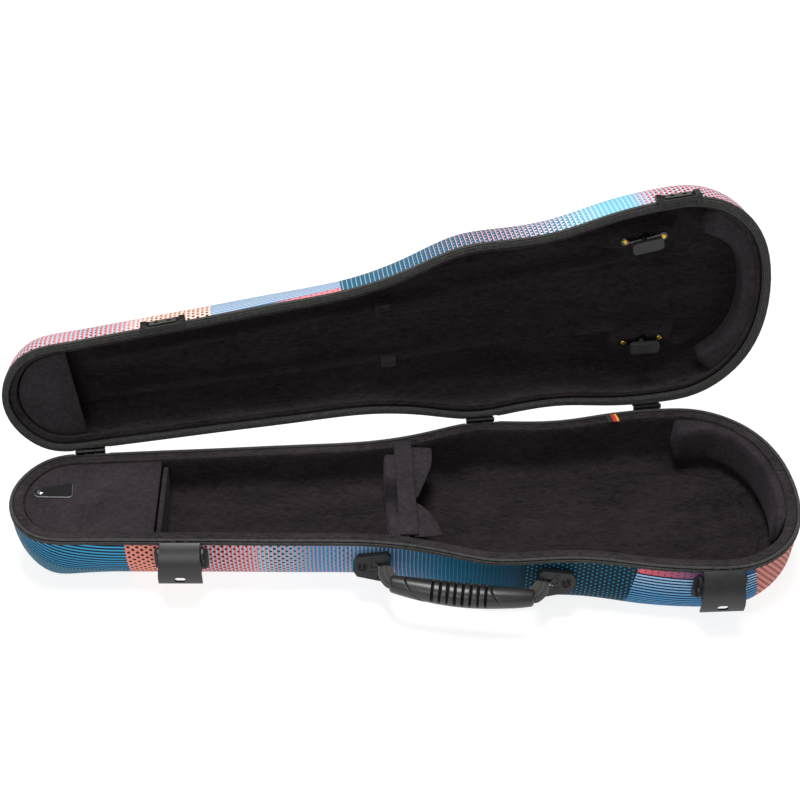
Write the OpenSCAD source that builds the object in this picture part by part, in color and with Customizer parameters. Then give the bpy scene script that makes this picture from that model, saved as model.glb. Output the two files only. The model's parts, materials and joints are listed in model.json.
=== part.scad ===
// Shaped violin case, drawn open: the base lies on its flat bottom and the lid stands on its
// three hinges at the far side. Millimetres. +X runs from the scroll end to the body end,
// +Y towards the hinges, +Z up. The origin is the middle of the flat bottom face.

/* [Case] */
// Overall length of the shell outline
case_length = 790; // [770:1:800]
// Depth of the base, from its rim to its flat bottom
base_depth = 75; // [72:1:80]
// Depth of the lid, from its rim to its back
lid_depth = 56; // [54:1:60]
// Wall thickness of both shells
wall = 3; // [2.5:0.1:3.2]

/* [Rim and lining] */
// Height of the rim binding on the outside
rim_height = 6.5; // [6:0.1:8]
// Width of the base binding's top face
rim_width = 4.2; // [4:0.1:4.4]
// Width of the lid binding's face
lid_rim_width = 6.4; // [6:0.1:7]
// Inset of the padded lip's inner edge
lip_inset = 14; // [13:0.5:15]
// Depth of the lined cavity under the violin body
body_cavity = 60; // [56:1:62]
// Depth of the lined neck channel
neck_cavity = 46; // [40:1:48]
// Depth of the lined lid
lid_cavity = 42; // [40:1:44]

/* [Hinges] */
// Length of one hinge leaf
leaf_length = 30; // [28:1:34]
// Radius of a hinge pin
hinge_pin_r = 1.2; // [1:0.05:1.4]

/* [Latches] */
// Width of a latch lever
lever_width = 38.5; // [36:0.5:40]
// Radius of the lever's curve
lever_radius = 32; // [31:0.5:33]

/* [Handle] */
// Diameter of the grip at its middle
grip_diameter = 24; // [22:0.5:26]
// Distance from the swing axis to the grip's ends
grip_reach = 24; // [22:0.5:26]

/* [Hidden] */
$fn = 48;
eps = 0.01;
gap = 0.2;        // assembly gap between pieces that don't move against each other

// ---- The outline: one half, as the control points of a clamped cubic B-spline.
// Each is [station from the scroll end, half-width]; stations scale with the length.
CONTROL = [
    [0, 0], [0, 23], [25, 67], [75, 66], [140, 69], [210, 71], [290, 75], [360, 76], [420, 90],
    [470, 111], [520, 106], [570, 106], [620, 120], [680, 126], [740, 124], [790, 64], [790, 0]
];
STEPS_PER_SPAN = 3;
SPANS = len(CONTROL) - 3;
LAST_STEP = SPANS * STEPS_PER_SPAN;
FULL = CONTROL[len(CONTROL) - 1].x;
length_scale = case_length / FULL;

function ratio(a, b) = b == 0 ? 0 : a / b;
function mix(a, b, t) = a + (b - a) * t;
function smooth(a, b, x) = let (t = min(max((x - a) / (b - a), 0), 1)) t * t * (3 - 2 * t);
function knot(i) = min(max(i - 3, 0), SPANS);
function weight(i, k, u) = k == 0
    ? ((knot(i) <= u && u < knot(i + 1)) ? 1 : 0)
    : ratio(u - knot(i), knot(i + k) - knot(i)) * weight(i, k - 1, u)
        + ratio(knot(i + k + 1) - u, knot(i + k + 1) - knot(i + 1)) * weight(i + 1, k - 1, u);
function total(list, i = 0) = i == len(list) - 1 ? list[i] : list[i] + total(list, i + 1);
function on_spline(u) = total([for (i = [0 : len(CONTROL) - 1]) CONTROL[i] * weight(i, 3, u)]);

// One side of the outline, from the scroll end to the body end: [station, half-width].
SIDE = [
    for (k = [0 : LAST_STEP])
        k == 0 ? CONTROL[0] : k == LAST_STEP ? CONTROL[len(CONTROL) - 1]
            : on_spline(k / STEPS_PER_SPAN)
];
COUNT = 2 * LAST_STEP;
// The whole outline, clockwise from above, centred along X.
RING = [
    for (k = [0 : COUNT - 1])
        let (p = SIDE[k <= LAST_STEP ? k : COUNT - k])
            [p.x * length_scale - case_length / 2, k <= LAST_STEP ? p.y : -p.y]
];
STATION = [for (k = [0 : COUNT - 1]) SIDE[k <= LAST_STEP ? k : COUNT - k].x];
// Unit normals that point into the case.
NORMAL = [
    for (k = [0 : COUNT - 1])
        let (t = RING[(k + 1) % COUNT] - RING[(k + COUNT - 1) % COUNT])
            [t.y, -t.x] / norm(t)
];

// Half-width and slope of the outline at a station, read between the points of SIDE.
function half_width(s) = lookup(s, SIDE);
function slope(s) = atan((half_width(s + 5) - half_width(s - 5)) / 10);
function x_of(s) = s * length_scale - case_length / 2;

// ---- Lofts of the outline. A ring is the outline moved inwards by inset, at height z;
// both may be a number or a list with one value for each outline point.
function at(v, k) = is_list(v) ? v[k] : v;
function ring(inset, z) = [
    for (k = [0 : COUNT - 1])
        let (p = RING[k] + NORMAL[k] * at(inset, k)) [p.x, p.y, at(z, k)]
];
// Faces between neighbouring rings, and a cap of strips that run from side to side.
function skin(rings, wrap = false) = [
    for (j = [0 : rings - (wrap ? 1 : 2)], i = [0 : COUNT - 1])
        let (
            a = j * COUNT + i,
            b = j * COUNT + (i + 1) % COUNT,
            c = ((j + 1) % rings) * COUNT + i,
            d = ((j + 1) % rings) * COUNT + (i + 1) % COUNT
        ) each [[a, b, d], [a, d, c]]
];
function cap(first) = [
    for (i = [0 : LAST_STEP - 1])
        let (
            a = first + i,
            b = first + i + 1,
            c = first + COUNT - i - 1,
            d = first + (COUNT - i) % COUNT
        )
            each i == 0 ? [[a, b, c]] : i == LAST_STEP - 1 ? [[a, b, d]]
                : [[a, b, c], [a, c, d]]
];
function reversed(faces) = [for (f = faces) [f[2], f[1], f[0]]];

// A solid through rings, capped at both ends: from the outside's bottom over the rim and
// down to the inside's floor.
module cup(rings) {
    points = [for (r = rings) each r];
    last = (len(rings) - 1) * COUNT;
    polyhedron(points, concat(skin(len(rings)), reversed(cap(0)), cap(last)), convexity = 6);
}

// A closed band whose section is a list of [inset, z].
module band(section) {
    points = [for (p = section) each ring(p.x, p.y)];
    polyhedron(points, skin(len(section), true), convexity = 6);
}

// ---- The shells' section. A wall with a little draft drops to a rounded corner, whose
// width and height change along the case.
SKIN_INSET = 0.9;     // the shell sits this far inside the rim binding's face
SHELL_TOP = -2.4;     // top of the shell wall, under the binding
DRAFT = 0.06;
ROUNDNESS = 1.85;     // 2 is an ellipse, less is flatter
BASE_WALL = [14, 34];     // straight wall height at the neck and at the body
LID_WALL = [8, 22];
BASE_CORNER = [34, 48, 30];     // corner width at the scroll end, neck and body
LID_CORNER = [34, 36, 28];

function wall_height(walls, s) = mix(walls[0], walls[1], smooth(330, 470, s));
function corner_width(corner, s) = s < 110
    ? mix(corner[0], corner[1], smooth(0, 110, s))
    : mix(corner[1], corner[2], smooth(430, 620, s));
function power(v, p) = v <= 0 ? 0 : pow(v, p);

// Ring on the shell surface moved inwards by t: angle 0 is the wall's foot, 90 the flat back.
function corner_ring(depth, walls, corner, t, angle) =
    let (
        wall_foot = [for (s = STATION) wall_height(walls, s)],
        width = [for (s = STATION) corner_width(corner, s) - t],
        across = 1 - power(cos(angle), 2 / ROUNDNESS),
        down = power(sin(angle), 2 / ROUNDNESS)
    )
        ring(
            [for (k = [0 : COUNT - 1])
                SKIN_INSET + t + DRAFT * (wall_foot[k] - rim_height) + width[k] * across],
            [for (k = [0 : COUNT - 1]) -wall_foot[k] - (depth - t - wall_foot[k]) * down]
        );

module shell(depth, walls, corner) {
    outside = [for (angle = [90 : -15 : 0]) corner_ring(depth, walls, corner, 0, angle)];
    inside = [for (angle = [0 : 30 : 90]) corner_ring(depth, walls, corner, wall, angle)];
    cup(concat(
        outside,
        [ring(SKIN_INSET, SHELL_TOP), ring(SKIN_INSET + wall, SHELL_TOP)],
        inside
    ));
}

// The base's binding folds over the shell's edge.
module base_binding() {
    band([
        [0, -rim_height], [0, 0], [rim_width, 0], [rim_width, SHELL_TOP + gap],
        [SKIN_INSET - gap, SHELL_TOP + gap], [SKIN_INSET - gap, -rim_height]
    ]);
}

// The lid's is wider, most of all at the body end, and goes on down the inside.
LID_RIM_DEPTH = 7.2;
LID_RIM_WIDTH = [for (s = STATION) lid_rim_width + 2.4 * smooth(560, 720, s)];
module lid_binding() {
    hem = SKIN_INSET + wall + 0.7;
    band([
        [0, -rim_height], [0, 0], [LID_RIM_WIDTH, 0], [LID_RIM_WIDTH, -LID_RIM_DEPTH],
        [hem, -LID_RIM_DEPTH], [hem - 0.5, SHELL_TOP + gap],
        [SKIN_INSET - gap, SHELL_TOP + gap], [SKIN_INSET - gap, -rim_height]
    ]);
}

// Foam and plush: the lip beside the rim, the cavity's wall, its rounded foot and floor.
LINING_GAP = 0.8;      // between the shell and its foam
LIP_TOP = -1;
LID_LIP_TOP = -LID_RIM_DEPTH - gap;
CAVITY_LEAN = 1.5;     // how far the cavity's wall leans in
CAVITY_CORNER = 14;

module lining(depth, walls, corner, floor_depths, lip_start, lip_top) {
    t = wall + LINING_GAP;
    start = [for (k = [0 : COUNT - 1]) at(lip_start, k) + gap];
    floor_z = [for (s = STATION) -mix(floor_depths[0], floor_depths[1], smooth(395, 450, s))];
    foot = lip_inset + CAVITY_LEAN;
    cup(concat(
        [for (angle = [90 : -30 : 0]) corner_ring(depth, walls, corner, t, angle)],
        [
            ring(start, lip_top - 0.5),
            ring([for (v = start) v + 0.6], lip_top),
            ring(lip_inset - 1.2, lip_top),
            ring(lip_inset, lip_top - 1.4),
            ring(foot, [for (z = floor_z) z + CAVITY_CORNER]),
            ring(foot + CAVITY_CORNER * 0.3, [for (z = floor_z) z + CAVITY_CORNER * 0.3]),
            ring(foot + CAVITY_CORNER, floor_z)
        ]
    ));
}

// ---- Places. Everything below is drawn with the rim plane at z = 0 and the depth towards
// -z, on the base and on the lid alike.
HINGE_ANGLE = 5.69;       // the hinge line is turned from X to touch the outline
HINGE_Y = 60.1;           // where it crosses station 0
HINGE_OUT = 0.6;          // pin centre outside the outline and above the base's rim
HINGE_UP = 0.4;
HINGE_STATIONS = [72, 479, 662];
LID_GAP = 2 * HINGE_UP;   // between the two rims when the lid is shut
function hinge_y(s) = HINGE_Y + tan(HINGE_ANGLE) * s;
hinge_point = [x_of(0), HINGE_Y + HINGE_OUT / cos(HINGE_ANGLE), base_depth + HINGE_UP];

module on_base() {
    translate([0, 0, base_depth]) children();
}

// The lid's pieces, mirrored over the rim plane and turned back to the open stop.
module on_lid() {
    translate(hinge_point)
        rotate([0, 0, HINGE_ANGLE])
            rotate([-90, 0, 0])
                rotate([0, 0, -HINGE_ANGLE])
                    translate(-hinge_point)
                        translate([0, 0, base_depth + LID_GAP])
                            mirror([0, 0, 1])
                                children();
}

// Local frame on the hinge line: +Y is out of the case, z = 0 the rim plane.
module at_hinge(s) {
    translate([x_of(s), hinge_y(s), 0]) rotate([0, 0, HINGE_ANGLE]) children();
}

module at_hinges() {
    for (s = HINGE_STATIONS) at_hinge(s) children();
}

// Local frame on the near side of the outline: -Y is out of the case.
module at_near_side(s) {
    translate([x_of(s), -half_width(s), 0]) rotate([0, 0, -slope(s)]) children();
}

// Half the room across the lined cavity at a station, with a clearance.
function cavity_reach(s) =
    half_width(s) - (lip_inset + CAVITY_LEAN) / cos(slope(s)) - 0.6;

// A cylinder along X, centred at [y, z].
module rod(r, length, y = 0, z = 0) {
    translate([-length / 2, y, z]) rotate([0, 90, 0]) cylinder(r = r, h = length);
}

// A plate in the XZ plane with round corners, from y = 0 to y = -thick.
module round_plate(width, height, thick, r) {
    rotate([90, 0, 0])
        linear_extrude(thick) {
            square([width - 2 * r, height], center = true);
            square([width, height - 2 * r], center = true);
            for (x = [-1, 1], y = [-1, 1])
                translate([x * (width / 2 - r), y * (height / 2 - r)]) circle(r);
        }
}

// The outline moved inwards, cut to a range of stations, as a flat sheet from z0 to z1.
module outline_sheet(inset, s0, s1, z0, z1) {
    side = [for (k = [0 : LAST_STEP]) if (STATION[k] > s0 && STATION[k] < s1) k];
    upper = [
        for (k = side)
            let (p = RING[k] + NORMAL[k] * inset)
                if (p.x >= x_of(s0) && p.x <= x_of(s1) && p.y >= 0) p
    ];
    left = s0 > 0 ? [[x_of(s0), upper[0].y]] : [];
    right = s1 < FULL ? [[x_of(s1), upper[len(upper) - 1].y]] : [];
    half = concat(left, upper, right);
    other = [for (k = [len(half) - 1 : -1 : 0]) if (half[k].y > 0.5) [half[k].x, -half[k].y]];
    translate([0, 0, z0]) linear_extrude(z1 - z0) polygon(concat(half, other));
}

// ---- Base
COVER = "steelblue";
PLUSH = [0.15, 0.13, 0.14];
BLACK = [0.1, 0.1, 0.11];

// Room in the bindings for the hinge knuckles.
module knuckle_notches() {
    low = -2.8;
    at_hinges() translate([-leaf_length / 2 - 1, -3.4, low]) cube([leaf_length + 2, 8, 1 - low]);
}

module base_shell() {
    color(COVER) on_base() shell(base_depth, BASE_WALL, BASE_CORNER);
}

module base_rim() {
    color(BLACK)
        on_base()
            difference() {
                base_binding();
                knuckle_notches();
            }
}

module base_lining() {
    floors = [neck_cavity, body_cavity];
    color(PLUSH)
        on_base() lining(base_depth, BASE_WALL, BASE_CORNER, floors, rim_width, LIP_TOP);
}

module end_pad(thick, top, bottom, from) {
    difference() {
        outline_sheet(lip_inset + CAVITY_LEAN + gap, from, FULL, bottom, top);
        outline_sheet(lip_inset + CAVITY_LEAN + thick, 0, FULL, bottom - 1, top + 1);
    }
}

module base_end_pad() {
    color(PLUSH) on_base() end_pad(18, -14, -42, 690);
}

COMPARTMENT_END = 145;      // station of the panel's straight edge
PANEL_TOP = -5;
PANEL_THICK = 4;

module compartment_wall() {
    thick = 5;
    s = COMPARTMENT_END + 2;
    reach = cavity_reach(s);
    low = -neck_cavity + gap;
    color(PLUSH)
        on_base()
            translate([x_of(s), 0, 0])
                rotate([90, 0, 90])
                    linear_extrude(thick)
                        polygon([
                            [-reach, PANEL_TOP - PANEL_THICK - 0.6],
                            [-reach, low + CAVITY_CORNER],
                            [-reach + CAVITY_CORNER, low],
                            [reach - CAVITY_CORNER, low],
                            [reach, low + CAVITY_CORNER],
                            [reach, PANEL_TOP - PANEL_THICK - 0.6]
                        ]);
}

CRADLE_START = 374;
CRADLE_THICK = 21;
CRADLE_TOP = -7;

module neck_cradle() {
    reach = cavity_reach(CRADLE_START);
    low = -neck_cavity + gap;
    notch_low = -36;
    color(PLUSH)
        on_base()
            translate([x_of(CRADLE_START), 0, 0])
                rotate([90, 0, 90])
                    linear_extrude(CRADLE_THICK)
                        polygon([
                            [-reach, CRADLE_TOP], [-reach, low + CAVITY_CORNER],
                            [-reach + CAVITY_CORNER, low], [reach - CAVITY_CORNER, low],
                            [reach, low + CAVITY_CORNER], [reach, CRADLE_TOP],
                            [26, CRADLE_TOP], [15, notch_low], [-15, notch_low],
                            [-26, CRADLE_TOP]
                        ]);
}

// Two soft flaps behind the cradle that close in on the heel of the neck.
module cradle_wings() {
    start = CRADLE_START + CRADLE_THICK + gap;
    reach = cavity_reach(start);
    low = -32;
    top = CRADLE_TOP - 2;
    color(PLUSH)
        on_base()
            for (side = [0, 1])
                mirror([0, side, 0])
                    translate([x_of(start), 0, low])
                        linear_extrude(top - low)
                            polygon([[0, 18], [0, reach], [26, reach + 5], [22, reach - 9]]);
}

// A folded woven tag, sewn in between binding and lip.
TAG_STATION = 622.5;
module loop_tag() {
    color("orange")
        on_base()
            translate([x_of(TAG_STATION), half_width(TAG_STATION) - 15.5, LIP_TOP + gap])
                rotate([0, 0, 10])
                    translate([-6.5, 0, 0]) cube([13, 10.5, 1.1]);
}

// ---- Hinges
KNUCKLE_R = 2.6;
LEAF_Y = 0.15;          // the leaves lie just outside the binding's face
LEAF_THICK = 1.3;
LEAF_HEIGHT = 17;
LID_KNUCKLE = 10;       // length of the lid's middle knuckle
RIVET_X = 10;
RIVET_Z = -13;
RIVET_R = 1.5;

// One leaf with its knuckles. middle is true on the lid's leaf.
module hinge_leaf(middle) {
    outer = (leaf_length - LID_KNUCKLE) / 2 - gap;
    spans = middle ? [[-LID_KNUCKLE / 2, LID_KNUCKLE]]
        : [[-leaf_length / 2, outer], [leaf_length / 2 - outer, outer]];
    top = -KNUCKLE_R - 1;
    difference() {
        union() {
            translate([-leaf_length / 2, LEAF_Y, top - LEAF_HEIGHT])
                cube([leaf_length, LEAF_THICK, LEAF_HEIGHT]);
            for (span = spans) {
                translate([span[0], LEAF_Y, top - eps])
                    cube([span[1], LEAF_THICK, HINGE_UP - top]);
                translate([span[0] + span[1] / 2, 0, 0])
                    rod(KNUCKLE_R, span[1], HINGE_OUT, HINGE_UP);
            }
        }
        rod(hinge_pin_r + 0.05, leaf_length + 2, HINGE_OUT, HINGE_UP);
        for (x = [-RIVET_X, RIVET_X])
            translate([x, LEAF_Y - 1, RIVET_Z])
                rotate([-90, 0, 0]) cylinder(r = RIVET_R + 0.05, h = 5);
    }
}

// The stop under the open lid's leaf.
module stop_lug() {
    top = HINGE_UP - (LEAF_Y + LEAF_THICK - HINGE_OUT) - 0.15;
    translate([-4, 0, 0])
        rotate([90, 0, 90])
            linear_extrude(8)
                polygon([
                    [LEAF_Y + LEAF_THICK - eps, -16], [9, -5], [9, top], [4.8, top],
                    [4.8, -4.2], [LEAF_Y + LEAF_THICK - eps, -4.2]
                ]);
}

module hinge_leaves_base() {
    color(BLACK)
        on_base()
            at_hinges() {
                hinge_leaf(false);
                stop_lug();
            }
}

module hinge_pins() {
    color("silver")
        on_base() at_hinges() rod(hinge_pin_r, leaf_length + 0.8, HINGE_OUT, HINGE_UP);
}

module hinge_rivets() {
    at_hinges()
        for (x = [-RIVET_X, RIVET_X])
            translate([x, 0, RIVET_Z])
                rotate([-90, 0, 0]) {
                    translate([0, 0, -4]) cylinder(r = RIVET_R, h = 4 + LEAF_Y + LEAF_THICK + eps);
                    translate([0, 0, LEAF_Y + LEAF_THICK]) cylinder(r1 = 2.6, r2 = 1.8, h = 0.9);
                }
}

module hinge_rivets_base() {
    color("dimgray") on_base() hinge_rivets();
}

// ---- Latches: a sprung rocker lever on a riveted bracket. Its two claws reach through the
// slots of the strike that hangs down from the lid's rim.
LATCH_STATIONS = [173, 687];
PIVOT_Y = -7;
PIVOT_Z = -20;
PIVOT_R = 1.5;
CHEEK_X = lever_width / 2 + 0.5;      // inner face of a bracket cheek
CHEEK_THICK = 2.2;
LEVER_THICK = 2.2;
LEVER_CENTRE = [10, -27];             // [y, z] of the lever's curve
LEVER_FROM = -18;                     // angles of its lower and upper edges
LEVER_TO = 63;
CLAW_X = 6.3;
CLAW_WIDTH = 4.6;
CLAW_Z = [-0.6, 1];
STRIKE_OUT = 3.2;

module latch_bracket() {
    flange = 2;
    height = 25;
    difference() {
        union() {
            translate([0, -0.1, PIVOT_Z - 2]) round_plate(52, height, flange, 4);
            for (side = [-1, 1])
                translate([side * (CHEEK_X + CHEEK_THICK / 2), 0, PIVOT_Z])
                    intersection() {
                        rod(12, CHEEK_THICK, -1, 0);
                        translate([-CHEEK_THICK, -14, -15]) cube([CHEEK_THICK * 2, 13.9, 30]);
                    }
        }
        rod(PIVOT_R + 0.03, 60, PIVOT_Y, PIVOT_Z);
        for (x = [-10, 10])
            translate([x, 1, PIVOT_Z]) rotate([90, 0, 0]) cylinder(r = RIVET_R + 0.05, h = 5);
    }
}

module latch_bracket_left() {
    color(BLACK) on_base() at_near_side(LATCH_STATIONS[0]) latch_bracket();
}

module latch_bracket_right() {
    color(BLACK) on_base() at_near_side(LATCH_STATIONS[1]) latch_bracket();
}

module latch_pins() {
    color("silver")
        on_base()
            for (s = LATCH_STATIONS)
                at_near_side(s)
                    rod(PIVOT_R, 2 * (CHEEK_X + CHEEK_THICK) + 0.6, PIVOT_Y, PIVOT_Z);
}

// The coil of each lever's torsion spring, round the middle of its pin, with its two legs.
module latch_springs() {
    coil_length = 10;
    coil_r = 2.9;
    wire_r = 0.45;
    leg_x = coil_length / 2 - 0.8;
    color("silver")
        on_base()
            for (s = LATCH_STATIONS)
                at_near_side(s)
                    translate([0, PIVOT_Y, PIVOT_Z]) {
                        difference() {
                            rod(coil_r, coil_length);
                            rod(PIVOT_R + 0.2, coil_length + 1);
                        }
                        for (leg = [[leg_x, 2.3, 9], [-leg_x, -2.3, 7]])
                            translate([leg[0], leg[1], -leg[2]]) cylinder(r = wire_r, h = leg[2]);
                    }
}

module latch_rivets() {
    color("dimgray")
        on_base()
            for (s = LATCH_STATIONS, x = [-10, 10])
                at_near_side(s)
                    translate([x, 3.8, PIVOT_Z])
                        rotate([90, 0, 0]) {
                            cylinder(r = RIVET_R, h = 5.9);
                            translate([0, 0, 5.9]) cylinder(r1 = 2.7, r2 = 1.9, h = 0.9);
                        }
}

// A sector of a tube along X round the lever's centre: inner radius, thickness, angles.
module curved_plate(width, radius, thick, from, to) {
    translate([width / 2, LEVER_CENTRE.x, LEVER_CENTRE.y])
        rotate([0, -90, 0])
            rotate([0, 0, from - 90])
                rotate_extrude(angle = to - from, $fn = 96)
                    translate([radius - thick, 0]) square([thick, width]);
}

module lever() {
    ear_thick = 2.4;
    ear_x = lever_width / 2 - ear_thick;
    hole_z = -31;
    difference() {
        union() {
            curved_plate(lever_width, lever_radius, LEVER_THICK, LEVER_FROM, LEVER_TO);
            for (side = [-1, 1])
                translate([side * (ear_x + ear_thick / 2), 0, 0])
                    intersection() {
                        union() {
                            rod(4, ear_thick, PIVOT_Y, PIVOT_Z);
                            translate([-ear_thick / 2, -30, PIVOT_Z - 4])
                                cube([ear_thick, 30 + PIVOT_Y, 8]);
                        }
                        rod(lever_radius - 1, ear_thick, LEVER_CENTRE.x, LEVER_CENTRE.y);
                    }
            for (side = [-1, 1])
                translate([side * CLAW_X - CLAW_WIDTH / 2, -5, CLAW_Z[0]])
                    cube([CLAW_WIDTH, 3.6, CLAW_Z[1] - CLAW_Z[0]]);
        }
        rod(PIVOT_R + 0.05, lever_width + 2, PIVOT_Y, PIVOT_Z);
        translate([0, 0, hole_z])
            rotate([90, 0, 0]) {
                translate([-2, 0, 0]) cylinder(r = 3, h = 40);
                translate([2, 0, 0]) cylinder(r = 3, h = 40);
                translate([-2, -3, 0]) cube([4, 6, 40]);
            }
    }
}

module latch_lever_left() {
    color([0.2, 0.21, 0.21]) on_base() at_near_side(LATCH_STATIONS[0]) lever();
}

module latch_lever_right() {
    color([0.2, 0.21, 0.21]) on_base() at_near_side(LATCH_STATIONS[1]) lever();
}

// The strike: a frame on the lid's binding with a skirt that has a slot for each claw.
// It's drawn in the lid's own frame, so the skirt reaches past the rim to +z.
module strike_frame() {
    width = 44;
    skirt = LID_GAP + 2.4;
    slot_low = LID_GAP - CLAW_Z[1] - 0.5;
    slot_high = LID_GAP - CLAW_Z[0] + 0.5;
    difference() {
        union() {
            translate([-width / 2, -STRIKE_OUT, -9]) cube([width, STRIKE_OUT - 0.3, 9 + skirt]);
            for (side = [-1, 1])
                translate([side * (width / 2 - 3) - 3, -4.6, -9]) cube([6, 4.3, 7.5]);
        }
        for (side = [-1, 1]) {
            translate([side * CLAW_X - 3, -5, slot_low]) cube([6, 6, slot_high - slot_low]);
            translate([side * 13, 1, -5]) rotate([90, 0, 0]) cylinder(r = RIVET_R + 0.05, h = 6);
            translate([side * CLAW_X - 2.6, -5, -5.5]) cube([5.2, 3.4, 2]);
        }
    }
}

module strike_frame_left() {
    color(BLACK) on_lid() at_near_side(LATCH_STATIONS[0]) strike_frame();
}

module strike_frame_right() {
    color(BLACK) on_lid() at_near_side(LATCH_STATIONS[1]) strike_frame();
}

module strike_rivets() {
    color("dimgray")
        on_lid()
            for (s = LATCH_STATIONS, x = [-13, 13])
                at_near_side(s)
                    translate([x, 3.6, -5])
                        rotate([90, 0, 0]) {
                            cylinder(r = RIVET_R, h = 3.6 + STRIKE_OUT);
                            translate([0, 0, 3.6 + STRIKE_OUT]) cylinder(r1 = 2.4, r2 = 1.7, h = 0.7);
                        }
}

// ---- Handle: a rubber grip between two webbing loops, each round a bar in its mount.
// Each row: station of the mount's middle, its tilt with the shell wall, side of the bar.
MOUNTS = [[357, 10, 1], [533, 5, -1]];
MOUNT_TOP = -11;
MOUNT_SIZE = [36, 32, 6];
BAR_X = 11;
BAR_R = 1.8;
EYE_R = 3.8;
ANCHOR_Z = -28;
ANCHOR_OUT = 4;
SWING = [-45, 0, 40];
ANCHORS = [
    for (m = MOUNTS)
        let (s = m[0] + m[2] * BAR_X)
            [x_of(s), -half_width(s) - ANCHOR_OUT, ANCHOR_Z]
];
anchor_run = ANCHORS[1] - ANCHORS[0];
swing_length = norm(anchor_run);
swing_angle = atan2(anchor_run.y, anchor_run.x);

// Local frame of the handle: X along the swing axis from the left bar, -Y outwards.
module on_handle() {
    on_base() translate(ANCHORS[0]) rotate([0, 0, swing_angle]) children();
}

// A shield-shaped plate with a pocket for the webbing's eye.
module handle_mount(k) {
    side = MOUNTS[k][2];
    difference() {
        at_near_side(MOUNTS[k][0])
            translate([0, 0.4, MOUNT_TOP])
                rotate([-MOUNTS[k][1], 0, 0])
                    translate([0, 0, -MOUNT_SIZE.y / 2])
                        difference() {
                            rotate([90, 0, 0])
                                linear_extrude(MOUNT_SIZE.z)
                                    polygon([
                                        [-18 * side, 4], [-14 * side, 11], [14 * side, 16],
                                        [18 * side, 13], [18 * side, -13], [14 * side, -16],
                                        [-14 * side, -11], [-18 * side, -4]
                                    ]);
                            translate([-9 * side, 1, 0])
                                rotate([90, 0, 0]) cylinder(r = 2.05, h = 12);
                        }
        translate(ANCHORS[k])
            rotate([0, 0, swing_angle]) {
                translate([-5.4, 0, 0]) rotate([0, 90, 0]) cylinder(r = EYE_R + 0.6, h = 10.8);
                hull()
                    for (a = SWING)
                        rotate([a, 0, 0])
                            translate([-5.4, -12, -EYE_R - 0.4]) cube([10.8, 12, 2 * EYE_R + 0.8]);
                translate([-8.2, 0, 0]) rotate([0, 90, 0]) cylinder(r = BAR_R + 0.03, h = 16.4);
            }
    }
}

module handle_mount_left() {
    color(BLACK) on_base() handle_mount(0);
}

module handle_mount_right() {
    color(BLACK) on_base() handle_mount(1);
}

module handle_rivets() {
    color("dimgray")
        on_base()
            for (m = MOUNTS)
                at_near_side(m[0])
                    translate([0, 0.4, MOUNT_TOP])
                        rotate([-m[1], 0, 0])
                            translate([-9 * m[2], 4, -MOUNT_SIZE.y / 2])
                                rotate([90, 0, 0]) {
                                    cylinder(r = 2, h = 4 + MOUNT_SIZE.z);
                                    translate([0, 0, 4 + MOUNT_SIZE.z])
                                        cylinder(r1 = 3.6, r2 = 2.6, h = 1.3);
                                }
}

module handle_bars() {
    color("dimgray")
        on_base()
            for (a = ANCHORS)
                translate(a)
                    rotate([0, 0, swing_angle])
                        translate([-8, 0, 0]) rotate([0, 90, 0]) cylinder(r = BAR_R, h = 16);
}

// The grip's middle line bows outwards; it swells a little at its middle.
GRIP_START = 7;
GRIP_BOW = 6;
GRIP_LIFT = 3;
GRIP_SIDES = 16;
GRIP_RINGS = 13;
grip_run = swing_length - 2 * GRIP_START;

function grip_radius(t) = grip_diameter / 2 * (0.84 + 0.16 * sin(180 * t));
module handle_grip() {
    rings = [
        for (j = [0 : GRIP_RINGS - 1], i = [0 : GRIP_SIDES - 1])
            let (
                t = j / (GRIP_RINGS - 1),
                a = 360 * i / GRIP_SIDES,
                r = grip_radius(t)
            )
                [
                    GRIP_START + grip_run * t,
                    -grip_reach - GRIP_BOW * sin(180 * t) + r * cos(a),
                    GRIP_LIFT + r * sin(a)
                ]
    ];
    sides = [
        for (j = [0 : GRIP_RINGS - 2], i = [0 : GRIP_SIDES - 1])
            let (
                a = j * GRIP_SIDES + i,
                b = j * GRIP_SIDES + (i + 1) % GRIP_SIDES
            ) each [[a, b + GRIP_SIDES, b], [a, a + GRIP_SIDES, b + GRIP_SIDES]]
    ];
    first = [for (i = [0 : GRIP_SIDES - 1]) i];
    last = [for (i = [GRIP_SIDES - 1 : -1 : 0]) (GRIP_RINGS - 1) * GRIP_SIDES + i];
    color([0.17, 0.17, 0.18])
        on_handle() polyhedron(rings, concat(sides, [first, last]), convexity = 4);
}

// Webbing from the eye round a bar, straight out, then into the end of the grip. Its local
// X runs along the swing axis towards the grip.
STRAP_WIDTH = 9.6;
STRAP_THICK = 6.4;
module handle_strap() {
    inward = GRIP_START - gap;
    difference() {
        union() {
            translate([-STRAP_WIDTH / 2, 0, 0])
                rotate([0, 90, 0]) cylinder(r = EYE_R, h = STRAP_WIDTH);
            translate([-STRAP_WIDTH / 2, -grip_reach, -STRAP_THICK / 2])
                cube([STRAP_WIDTH, grip_reach, STRAP_THICK]);
            translate([-STRAP_WIDTH / 2, -grip_reach - 7, -STRAP_THICK / 2])
                cube([STRAP_WIDTH / 2 + inward, 14, STRAP_THICK]);
        }
        translate([-STRAP_WIDTH, 0, 0])
            rotate([0, 90, 0]) cylinder(r = BAR_R + 0.1, h = 2 * STRAP_WIDTH);
    }
}

module handle_strap_left() {
    color("dimgray") on_handle() handle_strap();
}

module handle_strap_right() {
    color("dimgray")
        on_handle() translate([swing_length, 0, 0]) mirror([1, 0, 0]) handle_strap();
}

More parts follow.
